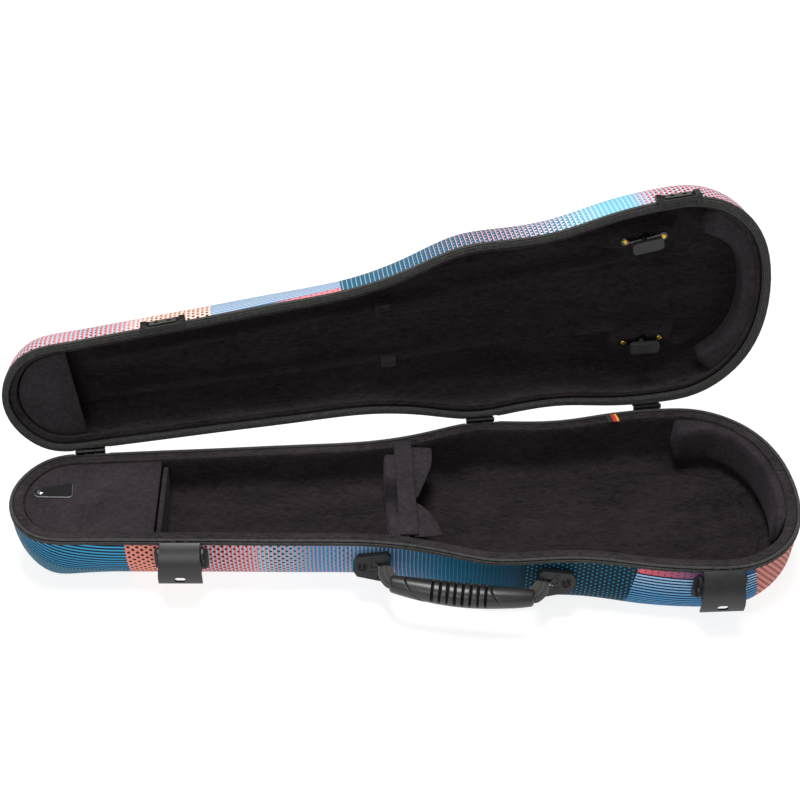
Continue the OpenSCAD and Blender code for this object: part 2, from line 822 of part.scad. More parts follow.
// ---- Compartment lid at the scroll end, with its leather tab
module compartment_lid() {
    color(PLUSH)
        on_base()
            outline_sheet(lip_inset + 3, 0, COMPARTMENT_END, PANEL_TOP - PANEL_THICK, PANEL_TOP);
}

TAB = [42, 7];          // station and offset of the tab's middle
STUD_X = -12;
module on_tab() {
    on_base() translate([x_of(TAB.x), TAB.y, PANEL_TOP + gap]) rotate([0, 0, 4]) children();
}

module pull_tab() {
    end_r = 6.8;
    color(BLACK)
        on_tab()
            difference() {
                linear_extrude(1.6)
                    polygon(concat(
                        [for (a = [100 : 10 : 260]) [STUD_X + end_r * cos(a), end_r * sin(a)]],
                        [[17, -10.5], [19, -8.5], [19, 8.5], [17, 10.5]]
                    ));
                translate([STUD_X, 0, -1]) cylinder(r = 1.55, h = 4);
            }
}

module pull_tab_stud() {
    color("silver")
        on_tab()
            translate([STUD_X, 0, 0]) {
                cylinder(r = 1.5, h = 1.7);
                translate([0, 0, 1.6 + eps]) cylinder(r1 = 3.6, r2 = 2.2, h = 1.2);
            }
}

// ---- Neck strap, from the far lip over the cradle to its near side
STRAP_STATION = 394;
module neck_strap() {
    width = 18;
    color([0.2, 0.17, 0.19])
        on_base()
            translate([x_of(STRAP_STATION) - width / 2, 0, 0])
                rotate([90, 0, 90])
                    linear_extrude(width)
                        polygon([
                            [73.6, -0.6], [73.6, 0.9], [58, 0.7], [-56, -3], [-62, -4.8],
                            [-62, -6.4], [-56, -4.6], [58, -0.8]
                        ]);
}

// ---- Lid
module lid_shell() {
    color(COVER) on_lid() shell(lid_depth, LID_WALL, LID_CORNER);
}

module lid_rim() {
    color(BLACK)
        on_lid()
            difference() {
                lid_binding();
                knuckle_notches();
            }
}

module lid_lining() {
    floors = [lid_cavity - 4, lid_cavity];
    color(PLUSH)
        on_lid() lining(lid_depth, LID_WALL, LID_CORNER, floors, LID_RIM_WIDTH, LID_LIP_TOP);
}

module lid_end_pad() {
    color(PLUSH) on_lid() end_pad(20, -9, -26, 690);
}

// Two raised ridges that part the bow channels from the middle of the lid. Each row:
// [start station, start y, end station, end y].
RIDGES = [[91, -23, 640, -47], [91, 18, 640, 39]];
module bow_ridges() {
    half = 6;
    color(PLUSH)
        on_lid()
            for (r = RIDGES)
                translate([0, 0, -lid_cavity + 4 + gap])
                    linear_extrude(10)
                        polygon([
                            [x_of(r[0]), r[1] - half], [x_of(r[2]), r[3] - half],
                            [x_of(r[2]), r[3] + half], [x_of(r[0]), r[1] + half]
                        ]);
}

HOLDERS = [[660, -72], [660, 54]];       // upper, lower: station and y
HOLDER_DEPTH = -24;
BLOCK_SIZE = [68, 17];
module bow_holder_blocks() {
    color(PLUSH)
        on_lid()
            for (h = HOLDERS)
                translate([
                    x_of(h.x) - BLOCK_SIZE.x / 2, h.y - BLOCK_SIZE.y / 2, -lid_cavity + gap
                ])
                    cube([BLOCK_SIZE.x, BLOCK_SIZE.y, lid_cavity + HOLDER_DEPTH - 2 * gap]);
}

module tip_pocket_panel() {
    color(PLUSH) on_lid() outline_sheet(lip_inset + 3, 0, 72, -13, -10);
}

module bow_tip_loops() {
    color(PLUSH)
        on_lid()
            for (r = RIDGES)
                let (t = (390 - r[0]) / (r[2] - r[0]), y = mix(r[1], r[3], t))
                    translate([x_of(390), y, -lid_cavity + 14 + 2 * gap])
                        difference() {
                            translate([-8, -6, 0]) cube([16, 12, 7]);
                            translate([-9, -4.4, -1]) cube([18, 8.8, 6.4]);
                        }
}

module hinge_leaves_lid() {
    color(BLACK) on_lid() at_hinges() hinge_leaf(true);
}

module hinge_rivets_lid() {
    color("dimgray") on_lid() hinge_rivets();
}

// ---- Bow holders: a screwed plate, a spindle and a paddle that turns
SCREW_X = 19.5;
SPINDLE_R = 2.5;
PADDLE_DEPTH = -12;

module at_holder(k) {
    on_lid() translate([x_of(HOLDERS[k].x), HOLDERS[k].y, HOLDER_DEPTH]) children();
}

module bow_holder_plate(k) {
    at_holder(k)
        difference() {
            linear_extrude(1.6) {
                for (x = [-SCREW_X, SCREW_X]) translate([x, 0]) circle(4.8);
                square([2 * SCREW_X, 6], center = true);
                circle(7.5);
            }
            for (x = [-SCREW_X, SCREW_X]) translate([x, 0, -1]) cylinder(r = 1.65, h = 4);
            translate([0, 0, -1]) cylinder(r = SPINDLE_R + 0.05, h = 4);
        }
}

module bow_holder_plate_upper() {
    color(BLACK) bow_holder_plate(0);
}

module bow_holder_plate_lower() {
    color(BLACK) bow_holder_plate(1);
}

module bow_holder_screws() {
    color("gold")
        for (k = [0, 1], x = [-SCREW_X, SCREW_X])
            at_holder(k)
                translate([x, 0, 0]) {
                    translate([0, 0, -8]) cylinder(r = 1.6, h = 8 + 1.6);
                    difference() {
                        translate([0, 0, 1.6]) cylinder(r1 = 3, r2 = 2.3, h = 0.9);
                        translate([-0.4, -4, 2]) cube([0.8, 8, 2]);
                    }
                }
}

module bow_spindle(k) {
    at_holder(k)
        cylinder(r = SPINDLE_R, h = PADDLE_DEPTH - HOLDER_DEPTH + 3);
}

module bow_spindle_upper() {
    color(BLACK) bow_spindle(0);
}

module bow_spindle_lower() {
    color(BLACK) bow_spindle(1);
}

// A paddle with round corners and a blind bore that takes the spindle.
module bow_paddle(k, turn) {
    at_holder(k)
        translate([0, 0, PADDLE_DEPTH - HOLDER_DEPTH])
            rotate([0, 0, turn])
                difference() {
                    linear_extrude(5) {
                        square([32 - 8, 13], center = true);
                        square([32, 13 - 8], center = true);
                        for (x = [-12, 12], y = [-2.5, 2.5]) translate([x, y]) circle(4);
                    }
                    translate([0, 0, -1]) cylinder(r = SPINDLE_R, h = 4);
                }
}

module bow_paddle_upper() {
    color([0.25, 0.25, 0.26]) bow_paddle(0, -6);
}

module bow_paddle_lower() {
    color([0.25, 0.25, 0.26]) bow_paddle(1, 6);
}

base_shell();
base_rim();
base_lining();
base_end_pad();
compartment_wall();
neck_cradle();
cradle_wings();
loop_tag();
hinge_leaves_base();
hinge_pins();
hinge_rivets_base();
latch_bracket_left();
latch_bracket_right();
latch_pins();
latch_springs();
latch_rivets();
handle_mount_left();
handle_mount_right();
handle_rivets();
handle_bars();
lid_shell();
lid_rim();
lid_lining();
lid_end_pad();
bow_ridges();
bow_holder_blocks();
tip_pocket_panel();
bow_tip_loops();
hinge_leaves_lid();
hinge_rivets_lid();
strike_frame_left();
strike_frame_right();
strike_rivets();
bow_holder_plate_upper();
bow_holder_plate_lower();
bow_holder_screws();
bow_spindle_upper();
bow_paddle_upper();
bow_spindle_lower();
bow_paddle_lower();
latch_lever_left();
latch_lever_right();
compartment_lid();
pull_tab();
pull_tab_stud();
handle_grip();
handle_strap_left();
handle_strap_right();
neck_strap();
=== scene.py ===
"""An open violin case: cloth print, woven bindings, plush lining and moulded fittings,
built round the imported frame. Sizes are in millimetres in the case's own frame; meshes are
written in metres."""

import json
import math

import bmesh
import bpy
import numpy as np
from mathutils import Matrix, Vector


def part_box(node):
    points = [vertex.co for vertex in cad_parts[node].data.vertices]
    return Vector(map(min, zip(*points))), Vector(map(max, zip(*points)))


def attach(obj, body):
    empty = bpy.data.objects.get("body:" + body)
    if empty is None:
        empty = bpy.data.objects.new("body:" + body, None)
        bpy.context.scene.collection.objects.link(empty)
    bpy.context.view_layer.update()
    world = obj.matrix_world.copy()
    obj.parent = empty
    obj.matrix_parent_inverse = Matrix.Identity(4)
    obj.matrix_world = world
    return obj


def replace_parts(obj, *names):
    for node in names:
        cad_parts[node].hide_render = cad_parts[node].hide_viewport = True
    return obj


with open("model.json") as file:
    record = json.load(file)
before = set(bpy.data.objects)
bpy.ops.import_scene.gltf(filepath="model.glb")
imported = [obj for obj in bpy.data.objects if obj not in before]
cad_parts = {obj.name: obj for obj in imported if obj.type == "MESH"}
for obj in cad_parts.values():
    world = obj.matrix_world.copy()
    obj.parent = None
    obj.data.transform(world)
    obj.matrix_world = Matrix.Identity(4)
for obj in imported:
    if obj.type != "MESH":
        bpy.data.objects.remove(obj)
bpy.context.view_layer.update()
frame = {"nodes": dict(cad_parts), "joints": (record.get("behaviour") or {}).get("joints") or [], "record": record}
NODES = frame["nodes"]
JOINTS = {joint["name"]: joint for joint in frame["joints"]}
BODIES = {
    node: body for body, nodes in frame["record"]["behaviour"]["bodies"].items() for node in nodes
}
MM = 0.001


# ---- Camera: a product view from the near side, looking down into the case
def place_camera():
    data = bpy.data.cameras.new("camera")
    camera = bpy.data.objects.new("camera", data)
    bpy.context.scene.collection.objects.link(camera)
    bpy.context.scene.camera = camera
    data.sensor_width = 36.0
    data.lens = 64.26
    data.shift_x = 0.0079
    data.shift_y = 0.0373
    data.clip_end = 50.0
    pitch, yaw, roll = 0.673, 0.061, 0.020
    ahead = Vector(
        (
            math.sin(yaw) * math.cos(pitch),
            math.cos(yaw) * math.cos(pitch),
            -math.sin(pitch),
        )
    )
    right = ahead.cross(Vector((0, 0, 1))).normalized()
    up = right.cross(ahead)
    across = right * math.cos(roll) + up * math.sin(roll)
    above = up * math.cos(roll) - right * math.sin(roll)
    turn = Matrix((across, above, -ahead)).transposed().to_4x4()
    camera.matrix_world = Matrix.Translation((-0.0808, -1.0817, 1.0146)) @ turn


place_camera()


# ---- The outline, as in the CAD source: half of it is a clamped cubic B-spline
CONTROL = np.array(
    [
        (0, 0), (0, 23), (25, 67), (75, 66), (140, 69), (210, 71), (290, 75), (360, 76),
        (420, 90), (470, 111), (520, 106), (570, 106), (620, 120), (680, 126), (740, 124),
        (790, 64), (790, 0),
    ],
    float,
)
STEPS = 12
SPANS = len(CONTROL) - 3
LAST = SPANS * STEPS
COUNT = 2 * LAST
RIM_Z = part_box("base_rim")[1].z / MM
HALF_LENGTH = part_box("base_rim")[1].x / MM


def smooth(low, high, value):
    t = np.clip((np.asarray(value, float) - low) / (high - low), 0, 1)
    return t * t * (3 - 2 * t)


def mix(a, b, t):
    return a + (b - a) * t


def spline_point(u):
    knots = [min(max(i - 3, 0), SPANS) for i in range(len(CONTROL) + 4)]
    weights = [float(knots[i] <= u < knots[i + 1]) for i in range(len(knots) - 1)]
    for degree in (1, 2, 3):
        raised = []
        for i in range(len(weights) - 1):
            rise = knots[i + degree] - knots[i]
            fall = knots[i + degree + 1] - knots[i + 1]
            left = (u - knots[i]) / rise * weights[i] if rise else 0
            right = (knots[i + degree + 1] - u) / fall * weights[i + 1] if fall else 0
            raised.append(left + right)
        weights = raised
    return np.array(weights) @ CONTROL


SIDE = np.array(
    [CONTROL[0]] + [spline_point(k / STEPS) for k in range(1, LAST)] + [CONTROL[-1]]
)
ROUND = [k if k <= LAST else COUNT - k for k in range(COUNT)]
STATION = SIDE[ROUND, 0]
RING = np.stack(
    [STATION - HALF_LENGTH, SIDE[ROUND, 1] * np.where(np.arange(COUNT) <= LAST, 1, -1)], axis=1
)
TANGENT = np.roll(RING, -1, axis=0) - np.roll(RING, 1, axis=0)
TANGENT /= np.linalg.norm(TANGENT, axis=1)[:, None]
INWARD = np.stack([TANGENT[:, 1], -TANGENT[:, 0]], axis=1)
ARC_SIDE = np.concatenate([[0], np.cumsum(np.linalg.norm(np.diff(SIDE, axis=0), axis=1))])
ARC = ARC_SIDE[ROUND]


def half_width(s):
    return float(np.interp(s, SIDE[:, 0], SIDE[:, 1]))


def slope(s):
    return math.atan2(half_width(s + 5) - half_width(s - 5), 10)


def ring(inset, z):
    flat = RING + INWARD * np.broadcast_to(inset, COUNT)[:, None]
    return np.column_stack([flat, np.broadcast_to(z, COUNT)])


# ---- Frames: everything is drawn with the rim plane at z = 0 and the depth towards -z
HINGE = JOINTS["lid_hinge"]
PIVOT = Vector(HINGE["pos_m"]) / MM
HINGE_AXIS = Vector(HINGE["axis"]).normalized()
LID_GAP = 2 * (PIVOT.z - RIM_Z)
ON_BASE = Matrix.Translation((0, 0, RIM_Z))
ON_LID = (
    Matrix.Translation(PIVOT)
    @ Matrix.Rotation(-math.pi / 2, 4, HINGE_AXIS)
    @ Matrix.Translation(-PIVOT)
    @ Matrix.Translation((0, 0, RIM_Z + LID_GAP))
    @ Matrix.Diagonal((1, 1, -1, 1))
)
HANDLE = JOINTS["handle_swing"]
HINGE_TURN = math.atan2(HINGE_AXIS.y, HINGE_AXIS.x)


# ---- Mesh helpers
def new_piece(name, mesh, material, body):
    piece = bpy.data.objects.new(name, mesh)
    bpy.context.scene.collection.objects.link(piece)
    if material is not None:
        mesh.materials.append(material)
    if body is not None:
        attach(piece, body)
    return piece


def make(name, points, faces, material, body, place=ON_BASE, uv=None, smooth_angle=40):
    """A mesh piece from points in millimetres, placed and scaled to metres."""
    turn = np.array(place)
    placed = (np.asarray(points, float) @ turn[:3, :3].T + turn[:3, 3]) * MM
    mesh = bpy.data.meshes.new(name)
    mesh.from_pydata([tuple(p) for p in placed], [], [tuple(f) for f in faces])
    if uv is not None:
        layer = mesh.uv_layers.new(name="print")
        index = np.zeros(len(mesh.loops), int)
        mesh.loops.foreach_get("vertex_index", index)
        layer.data.foreach_set("uv", (np.asarray(uv, float)[index] * MM).ravel())
    finish_mesh(mesh, smooth_angle)
    return new_piece(name, mesh, material, body)


def finish_mesh(mesh, smooth_angle):
    work = bmesh.new()
    work.from_mesh(mesh)
    bmesh.ops.recalc_face_normals(work, faces=work.faces)
    work.to_mesh(mesh)
    work.free()
    mesh.shade_smooth()
    mesh.set_sharp_from_angle(angle=math.radians(smooth_angle))


def soften(node, material, bevel=0.4, segments=2, angle=32):
    """The CAD node's own shape with its edges rounded, in place of the node."""
    mesh = NODES[node].data.copy()
    mesh.materials.clear()
    work = bmesh.new()
    work.from_mesh(mesh)
    bmesh.ops.remove_doubles(work, verts=work.verts, dist=0.004 * MM)
    bmesh.ops.dissolve_limit(
        work, angle_limit=math.radians(1), verts=work.verts, edges=work.edges
    )
    work.to_mesh(mesh)
    work.free()
    piece = new_piece(node + "_finish", mesh, material, BODIES[node])
    rounded = piece.modifiers.new("rounded", "BEVEL")
    rounded.width = bevel * MM
    rounded.segments = segments
    rounded.limit_method = "ANGLE"
    rounded.angle_limit = math.radians(angle)
    rounded.harden_normals = True
    mesh.shade_smooth()
    mesh.set_sharp_from_angle(angle=math.radians(angle))
    apply_modifiers(piece)
    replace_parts(piece, node)
    return piece


def apply_modifiers(piece):
    bpy.context.view_layer.update()
    graph = bpy.context.evaluated_depsgraph_get()
    mesh = bpy.data.meshes.new_from_object(piece.evaluated_get(graph))
    piece.modifiers.clear()
    piece.data = mesh


def strip_faces(rows, columns, closed=True):
    """Quads between rows of points, each row with its own ring of columns."""
    faces = []
    for j in range(rows - 1):
        for i in range(columns if closed else columns - 1):
            a, b = j * columns + i, j * columns + (i + 1) % columns
            faces.append((a, b, b + columns, a + columns))
    return faces


def band(section):
    """A closed band round the outline whose section is a list of (inset, z)."""
    rings = [ring(inset, z) for inset, z in section]
    points = np.concatenate(rings)
    faces = strip_faces(len(section), COUNT)
    top = (len(section) - 1) * COUNT
    faces += [(top + i, top + (i + 1) % COUNT, (i + 1) % COUNT, i) for i in range(COUNT)]
    across = [0.0]
    for a, b in zip(rings[:-1], rings[1:]):
        across.append(across[-1] + float(np.linalg.norm(a - b, axis=1).mean()))
    uv = np.column_stack([np.tile(ARC, len(section)), np.repeat(across, COUNT)])
    return points, faces, uv


def cup(rings, top, rows, heights=(None, None)):
    """A closed cup through rings, with a grid over each open end. v runs from ring top."""
    distance = np.zeros((len(rings), COUNT))
    for j in range(top - 1, -1, -1):
        distance[j] = distance[j + 1] + np.linalg.norm(rings[j] - rings[j + 1], axis=1)
    for j in range(top + 1, len(rings)):
        distance[j] = distance[j - 1] + np.linalg.norm(rings[j] - rings[j - 1], axis=1)
    points = list(np.concatenate(rings))
    uv = list(np.column_stack([np.tile(ARC, len(rings)), distance.ravel()]))
    faces = strip_faces(len(rings), COUNT)
    for j, height in ((0, heights[0]), (len(rings) - 1, heights[1])):
        first = j * COUNT
        table = []
        for i in range(1, LAST):
            a, b = rings[j][i], rings[j][COUNT - i]
            reach = np.linalg.norm(b - a)
            row = [first + i]
            for step in range(1, rows):
                t = step / rows
                edge = min(t, 1 - t) * reach
                point = a + (b - a) * t
                if height is not None:
                    point = point + np.array([0, 0, height(point[0], point[1], edge)])
                row.append(len(points))
                points.append(point)
                uv.append((ARC[i], distance[j][i] + edge))
            row.append(first + COUNT - i)
            table.append(row)
        for upper, lower in zip(table[:-1], table[1:]):
            for c in range(rows):
                faces.append((upper[c], lower[c], lower[c + 1], upper[c + 1]))
        for end, row in ((first, table[0]), (first + LAST, table[-1])):
            for c in range(rows):
                faces.append((end, row[c], row[c + 1]))
    return np.array(points), faces, np.array(uv)


def loft(sections, uv_scale=None):
    """A closed body through sections, each a closed ring of points, with fans at its ends."""
    columns = len(sections[0])
    points = list(np.concatenate(sections))
    faces = strip_faces(len(sections), columns)
    middles = [np.mean(s, axis=0) for s in sections]
    lengths = [0.0]
    for a, b in zip(middles[:-1], middles[1:]):
        lengths.append(lengths[-1] + float(np.linalg.norm(a - b)))
    girth = float(np.linalg.norm(sections[0] - np.roll(sections[0], 1, axis=0), axis=1).sum())
    turns = np.linspace(0, uv_scale or girth, columns, endpoint=False)
    uv = [(length, turn) for length in lengths for turn in turns]
    for first, section, length in (
        (0, sections[0], lengths[0]),
        ((len(sections) - 1) * columns, sections[-1], lengths[-1]),
    ):
        points.append(np.mean(section, axis=0))
        uv.append((length, 0))
        for i in range(columns):
            faces.append((len(points) - 1, first + i, first + (i + 1) % columns))
    return np.array(points), faces, np.array(uv)


def tube(path, radius, sides=8):
    """Sections of a round tube along a path."""
    path = np.asarray(path, float)
    sections = []
    normal = None
    for i, point in enumerate(path):
        ahead = path[min(i + 1, len(path) - 1)] - path[max(i - 1, 0)]
        ahead /= np.linalg.norm(ahead)
        if normal is None:
            spare = np.array([0, 0, 1]) if abs(ahead[2]) < 0.9 else np.array([1, 0, 0])
            normal = np.cross(ahead, spare)
        normal = normal - ahead * (normal @ ahead)
        normal /= np.linalg.norm(normal)
        other = np.cross(ahead, normal)
        angles = np.linspace(0, 2 * math.pi, sides, endpoint=False)
        sections.append(
            point
            + radius * (np.outer(np.cos(angles), normal) + np.outer(np.sin(angles), other))
        )
    return sections


def join_parts(parts):
    """Points, faces and coordinates of several bodies as one."""
    points, faces, uv, first = [], [], [], 0
    for p, f, c in parts:
        points.append(p)
        faces += [tuple(i + first for i in face) for face in f]
        uv.append(c)
        first += len(p)
    return np.concatenate(points), faces, np.concatenate(uv)


# ---- Materials
def colour(red, green, blue):
    """A display colour, 0 to 255, as linear values."""
    out = []
    for value in (red, green, blue):
        value /= 255
        out.append(value / 12.92 if value <= 0.04045 else ((value + 0.055) / 1.055) ** 2.4)
    return (*out, 1.0)


class Graph:
    """A material and short ways to add nodes to it."""

    def __init__(self, name, roughness=0.5, metallic=0.0, sheen=0.0, coat=0.0, specular=0.5):
        self.material = bpy.data.materials.new(name)
        self.material.use_nodes = True
        self.tree = self.material.node_tree
        self.shader = self.tree.nodes["Principled BSDF"]
        self.set_input("Roughness", roughness)
        self.set_input("Metallic", metallic)
        self.set_input("Sheen Weight", sheen)
        self.set_input("Coat Weight", coat)
        self.set_input("Specular IOR Level", specular)

    def set_input(self, name, value):
        self.feed(self.shader.inputs[name], value)

    def feed(self, socket, value):
        if isinstance(value, bpy.types.NodeSocket):
            self.tree.links.new(value, socket)
        else:
            socket.default_value = value

    def math(self, operation, a, b=0.0, c=0.0):
        node = self.tree.nodes.new("ShaderNodeMath")
        node.operation = operation
        for socket, value in zip(node.inputs, (a, b, c)):
            self.feed(socket, value)
        return node.outputs[0]

    def add(self, a, b):
        return self.math("ADD", a, b)

    def times(self, a, b):
        return self.math("MULTIPLY", a, b)

    def part(self, a, pitch):
        """How far a is through its repeat, 0 to 1."""
        return self.math("FRACT", self.times(a, 1 / pitch))

    def between(self, value, low, high):
        return self.times(
            self.math("GREATER_THAN", value, low), self.math("LESS_THAN", value, high)
        )

    def blend(self, factor, a, b, kind="MIX"):
        node = self.tree.nodes.new("ShaderNodeMix")
        node.data_type = "RGBA"
        node.blend_type = kind
        self.feed(node.inputs[0], factor)
        self.feed(node.inputs[6], a)
        self.feed(node.inputs[7], b)
        return node.outputs[2]

    def ramp(self, factor, stops, mode="LINEAR"):
        node = self.tree.nodes.new("ShaderNodeValToRGB")
        elements = node.color_ramp.elements
        node.color_ramp.interpolation = mode
        while len(elements) < len(stops):
            elements.new(0.5)
        for element, (position, value) in zip(elements, stops):
            element.position = position
            element.color = value
        self.feed(node.inputs[0], factor)
        return node.outputs[0]

    def object_place(self, stretch=(1, 1, 1)):
        where = self.tree.nodes.new("ShaderNodeTexCoord").outputs["Object"]
        node = self.tree.nodes.new("ShaderNodeMapping")
        node.inputs["Scale"].default_value = stretch
        self.tree.links.new(where, node.inputs["Vector"])
        return node.outputs[0]

    def noise(self, place, scale, detail=3.0, rough=0.5):
        node = self.tree.nodes.new("ShaderNodeTexNoise")
        self.feed(node.inputs["Vector"], place)
        node.inputs["Scale"].default_value = scale
        node.inputs["Detail"].default_value = detail
        node.inputs["Roughness"].default_value = rough
        return node.outputs["Fac"]

    def print_place(self):
        """u and v of the print, in millimetres."""
        node = self.tree.nodes.new("ShaderNodeUVMap")
        node.uv_map = "print"
        split = self.tree.nodes.new("ShaderNodeSeparateXYZ")
        self.tree.links.new(node.outputs[0], split.inputs[0])
        return self.times(split.outputs[0], 1 / MM), self.times(split.outputs[1], 1 / MM)

    def bump(self, height, distance, strength=1.0):
        node = self.tree.nodes.new("ShaderNodeBump")
        node.inputs["Strength"].default_value = strength
        node.inputs["Distance"].default_value = distance * MM
        self.feed(node.inputs["Height"], height)
        self.tree.links.new(node.outputs[0], self.shader.inputs["Normal"])


NAVY = colour(8, 28, 50)
BLACK_INK = colour(18, 20, 26)
PRINT_LENGTH = float(ARC.max())


def at_arcs(stops):
    """Ramp stops given at arc lengths along the print."""
    return [(max(min(u / PRINT_LENGTH, 1), 0), value) for u, value in stops]


def dots(g, u, v, pitch, row, radius):
    """A mask of staggered dots; their radius may change along the case."""
    column = g.math("FLOOR", g.times(u, 1 / pitch))
    rise = g.math("FRACT", g.add(g.times(v, 1 / row), g.times(column, 0.5)))
    across = g.times(g.add(g.part(u, pitch), -0.5), pitch)
    down = g.times(g.add(rise, -0.5), row)
    away = g.math("SQRT", g.add(g.times(across, across), g.times(down, down)))
    return g.math("LESS_THAN", away, radius)


def column_print(g, u, v, ground, lines, sizes, ink, pitch=3.9, row=6.0):
    """Columns of two inks with dots over them; each ink and size changes along the case.
    The size stops hold the line's share of the pitch and a quarter of the dot radius."""
    along = g.times(u, 1 / PRINT_LENGTH)
    split = g.tree.nodes.new("ShaderNodeSeparateColor")
    g.feed(split.inputs[0], g.ramp(along, at_arcs(sizes)))
    share, radius = split.outputs[0], g.times(split.outputs[1], 4.0)
    base = g.blend(
        g.math("LESS_THAN", g.part(u, pitch), share),
        g.ramp(along, at_arcs(ground)),
        g.ramp(along, at_arcs(lines)),
    )
    return g.blend(dots(g, u, v, pitch, row, radius), base, g.ramp(along, at_arcs(ink)))


def stripe_print(g, depth, pitch, dark_share, pale, deep, reach):
    """Pale stripes on navy; the pale ink deepens with the depth."""
    ink = g.ramp(g.times(depth, 1 / reach), [(0, pale), (1, deep)])
    dark = g.math("LESS_THAN", g.part(depth, pitch), dark_share)
    return g.blend(dark, ink, NAVY)


def scalar_stops(rows):
    return [(u, (share, radius / 4, 0, 1)) for u, share, radius in rows]


def print_material(name, build):
    """Printed cloth under a matt coat, with the cloth's weave in its surface."""
    g = Graph(name, roughness=0.6, specular=0.1)
    u, v = g.print_place()
    fibre = g.noise(g.object_place(), 2600, 2.0)
    worn = g.ramp(fibre, [(0.3, (0.3, 0.3, 0.3, 1)), (0.7, (1, 1, 1, 1))])
    g.set_input("Base Color", g.blend(0.1, build(g, u, v), worn, "MULTIPLY"))
    thread = 2 * math.pi / 0.7
    g.bump(
        g.times(g.math("SINE", g.times(u, thread)), g.math("SINE", g.times(v, thread))), 0.05, 0.3
    )
    return g.material


def base_print(g, u, v):
    pink, orange = colour(214, 126, 124), colour(214, 140, 110)
    coral, mist = colour(224, 100, 104), colour(146, 182, 196)
    blue, deep = colour(12, 138, 176), colour(0, 96, 128)
    dark, cyan = colour(10, 34, 46), colour(24, 138, 178)
    # Columns of coral and mist that turn into thin lines on blue.
    ground = [
        (221, coral), (284, coral), (285, colour(122, 192, 208)), (318, colour(84, 176, 200)),
        (340, blue), (385, blue), (405, deep), (470, colour(0, 78, 108)),
        (535, colour(4, 56, 78)), (547, dark),
    ]
    lines = [
        (221, mist), (284, mist), (285, coral), (340, coral), (392, colour(220, 122, 136)),
        (430, colour(150, 120, 146)), (470, colour(50, 112, 140)),
        (520, colour(18, 82, 106)), (547, dark),
    ]
    sizes = scalar_stops(
        [
            (222, 0.45, 1.0), (250, 0.45, 1.6), (284, 0.45, 0.9), (285, 0.36, 0.9),
            (304, 0.36, 1.5), (326, 0.32, 1.1), (342, 0.28, 0.3), (356, 0.26, 0.6),
            (372, 0.3, 1.0), (390, 0.24, 0.3), (420, 0.2, 0), (470, 0.16, 0), (546, 0.16, 0),
        ]
    )
    ink = [(0, BLACK_INK), (915, BLACK_INK)]
    out = column_print(g, u, g.add(v, g.times(u, 0.02)), ground, lines, sizes, ink, 3.9, 7.2)
    # Pink and orange columns with large dots beside the stripes.
    fleck = g.blend(g.math("LESS_THAN", g.part(u, 4.3), 0.4), pink, orange)
    fleck = g.blend(dots(g, u, v, 4.3, 7.2, 1.6), fleck, BLACK_INK)
    out = g.blend(g.math("LESS_THAN", u, 221), out, fleck)
    # Blue stripes at the scroll end that run out under the rim.
    left = g.math("MAXIMUM", g.times(g.add(g.times(u, -1), 152), 0.01), 0)
    swept = g.add(v, g.times(g.math("POWER", left, 2.2), 34))
    stripes = stripe_print(
        g, swept, 4.3, 0.54, colour(66, 164, 206), colour(36, 124, 168), 46
    )
    ticks = g.blend(
        g.times(g.math("LESS_THAN", g.part(u, 3.4), 0.28), 0.5),
        colour(34, 84, 106),
        colour(110, 154, 172),
    )
    scroll = g.blend(g.math("GREATER_THAN", swept, 49), stripes, ticks)
    out = g.blend(g.math("LESS_THAN", u, 158), out, scroll)
    # Cyan dots on navy.
    spots = g.blend(dots(g, u, v, 4.2, 5.0, 0.82), dark, cyan)
    out = g.blend(g.math("GREATER_THAN", u, 547), out, spots)
    # Slanted columns of dots on pink round the body end.
    lean = g.add(u, g.times(v, 0.35))
    end = g.blend(
        g.math("LESS_THAN", g.part(lean, 3.6), 0.45), colour(206, 116, 116), colour(212, 144, 124)
    )
    end = g.blend(dots(g, lean, v, 3.6, 5.4, 1.35), end, BLACK_INK)
    out = g.blend(g.math("GREATER_THAN", u, 700), out, end)
    # Pale stripes under a dotted wedge, between two slanted seams.
    turn = g.times(g.add(u, -650), math.pi / 110)
    wedge = g.add(g.times(g.math("SINE", turn), 3.4), 9.4)
    below = g.add(v, g.times(wedge, -1))
    stripes = stripe_print(
        g, below, 4.0, 0.5, colour(158, 196, 230), colour(74, 142, 190), 28
    )
    fade = g.ramp(
        g.times(g.add(u, -650), 1 / 75),
        [(0, colour(222, 92, 100)), (0.5, colour(160, 84, 110)), (1, colour(40, 76, 120))],
    )
    fade = g.blend(dots(g, u, v, 6.2, 4.6, 1.0), fade, colour(40, 62, 90))
    body = g.blend(g.math("LESS_THAN", below, 0), stripes, fade)
    near_seam = g.add(u, g.times(v, 0.14))
    far_seam = g.add(u, g.times(v, -0.3))
    inside = g.times(
        g.math("GREATER_THAN", near_seam, 654), g.math("LESS_THAN", far_seam, 766)
    )
    return g.blend(inside, out, body)


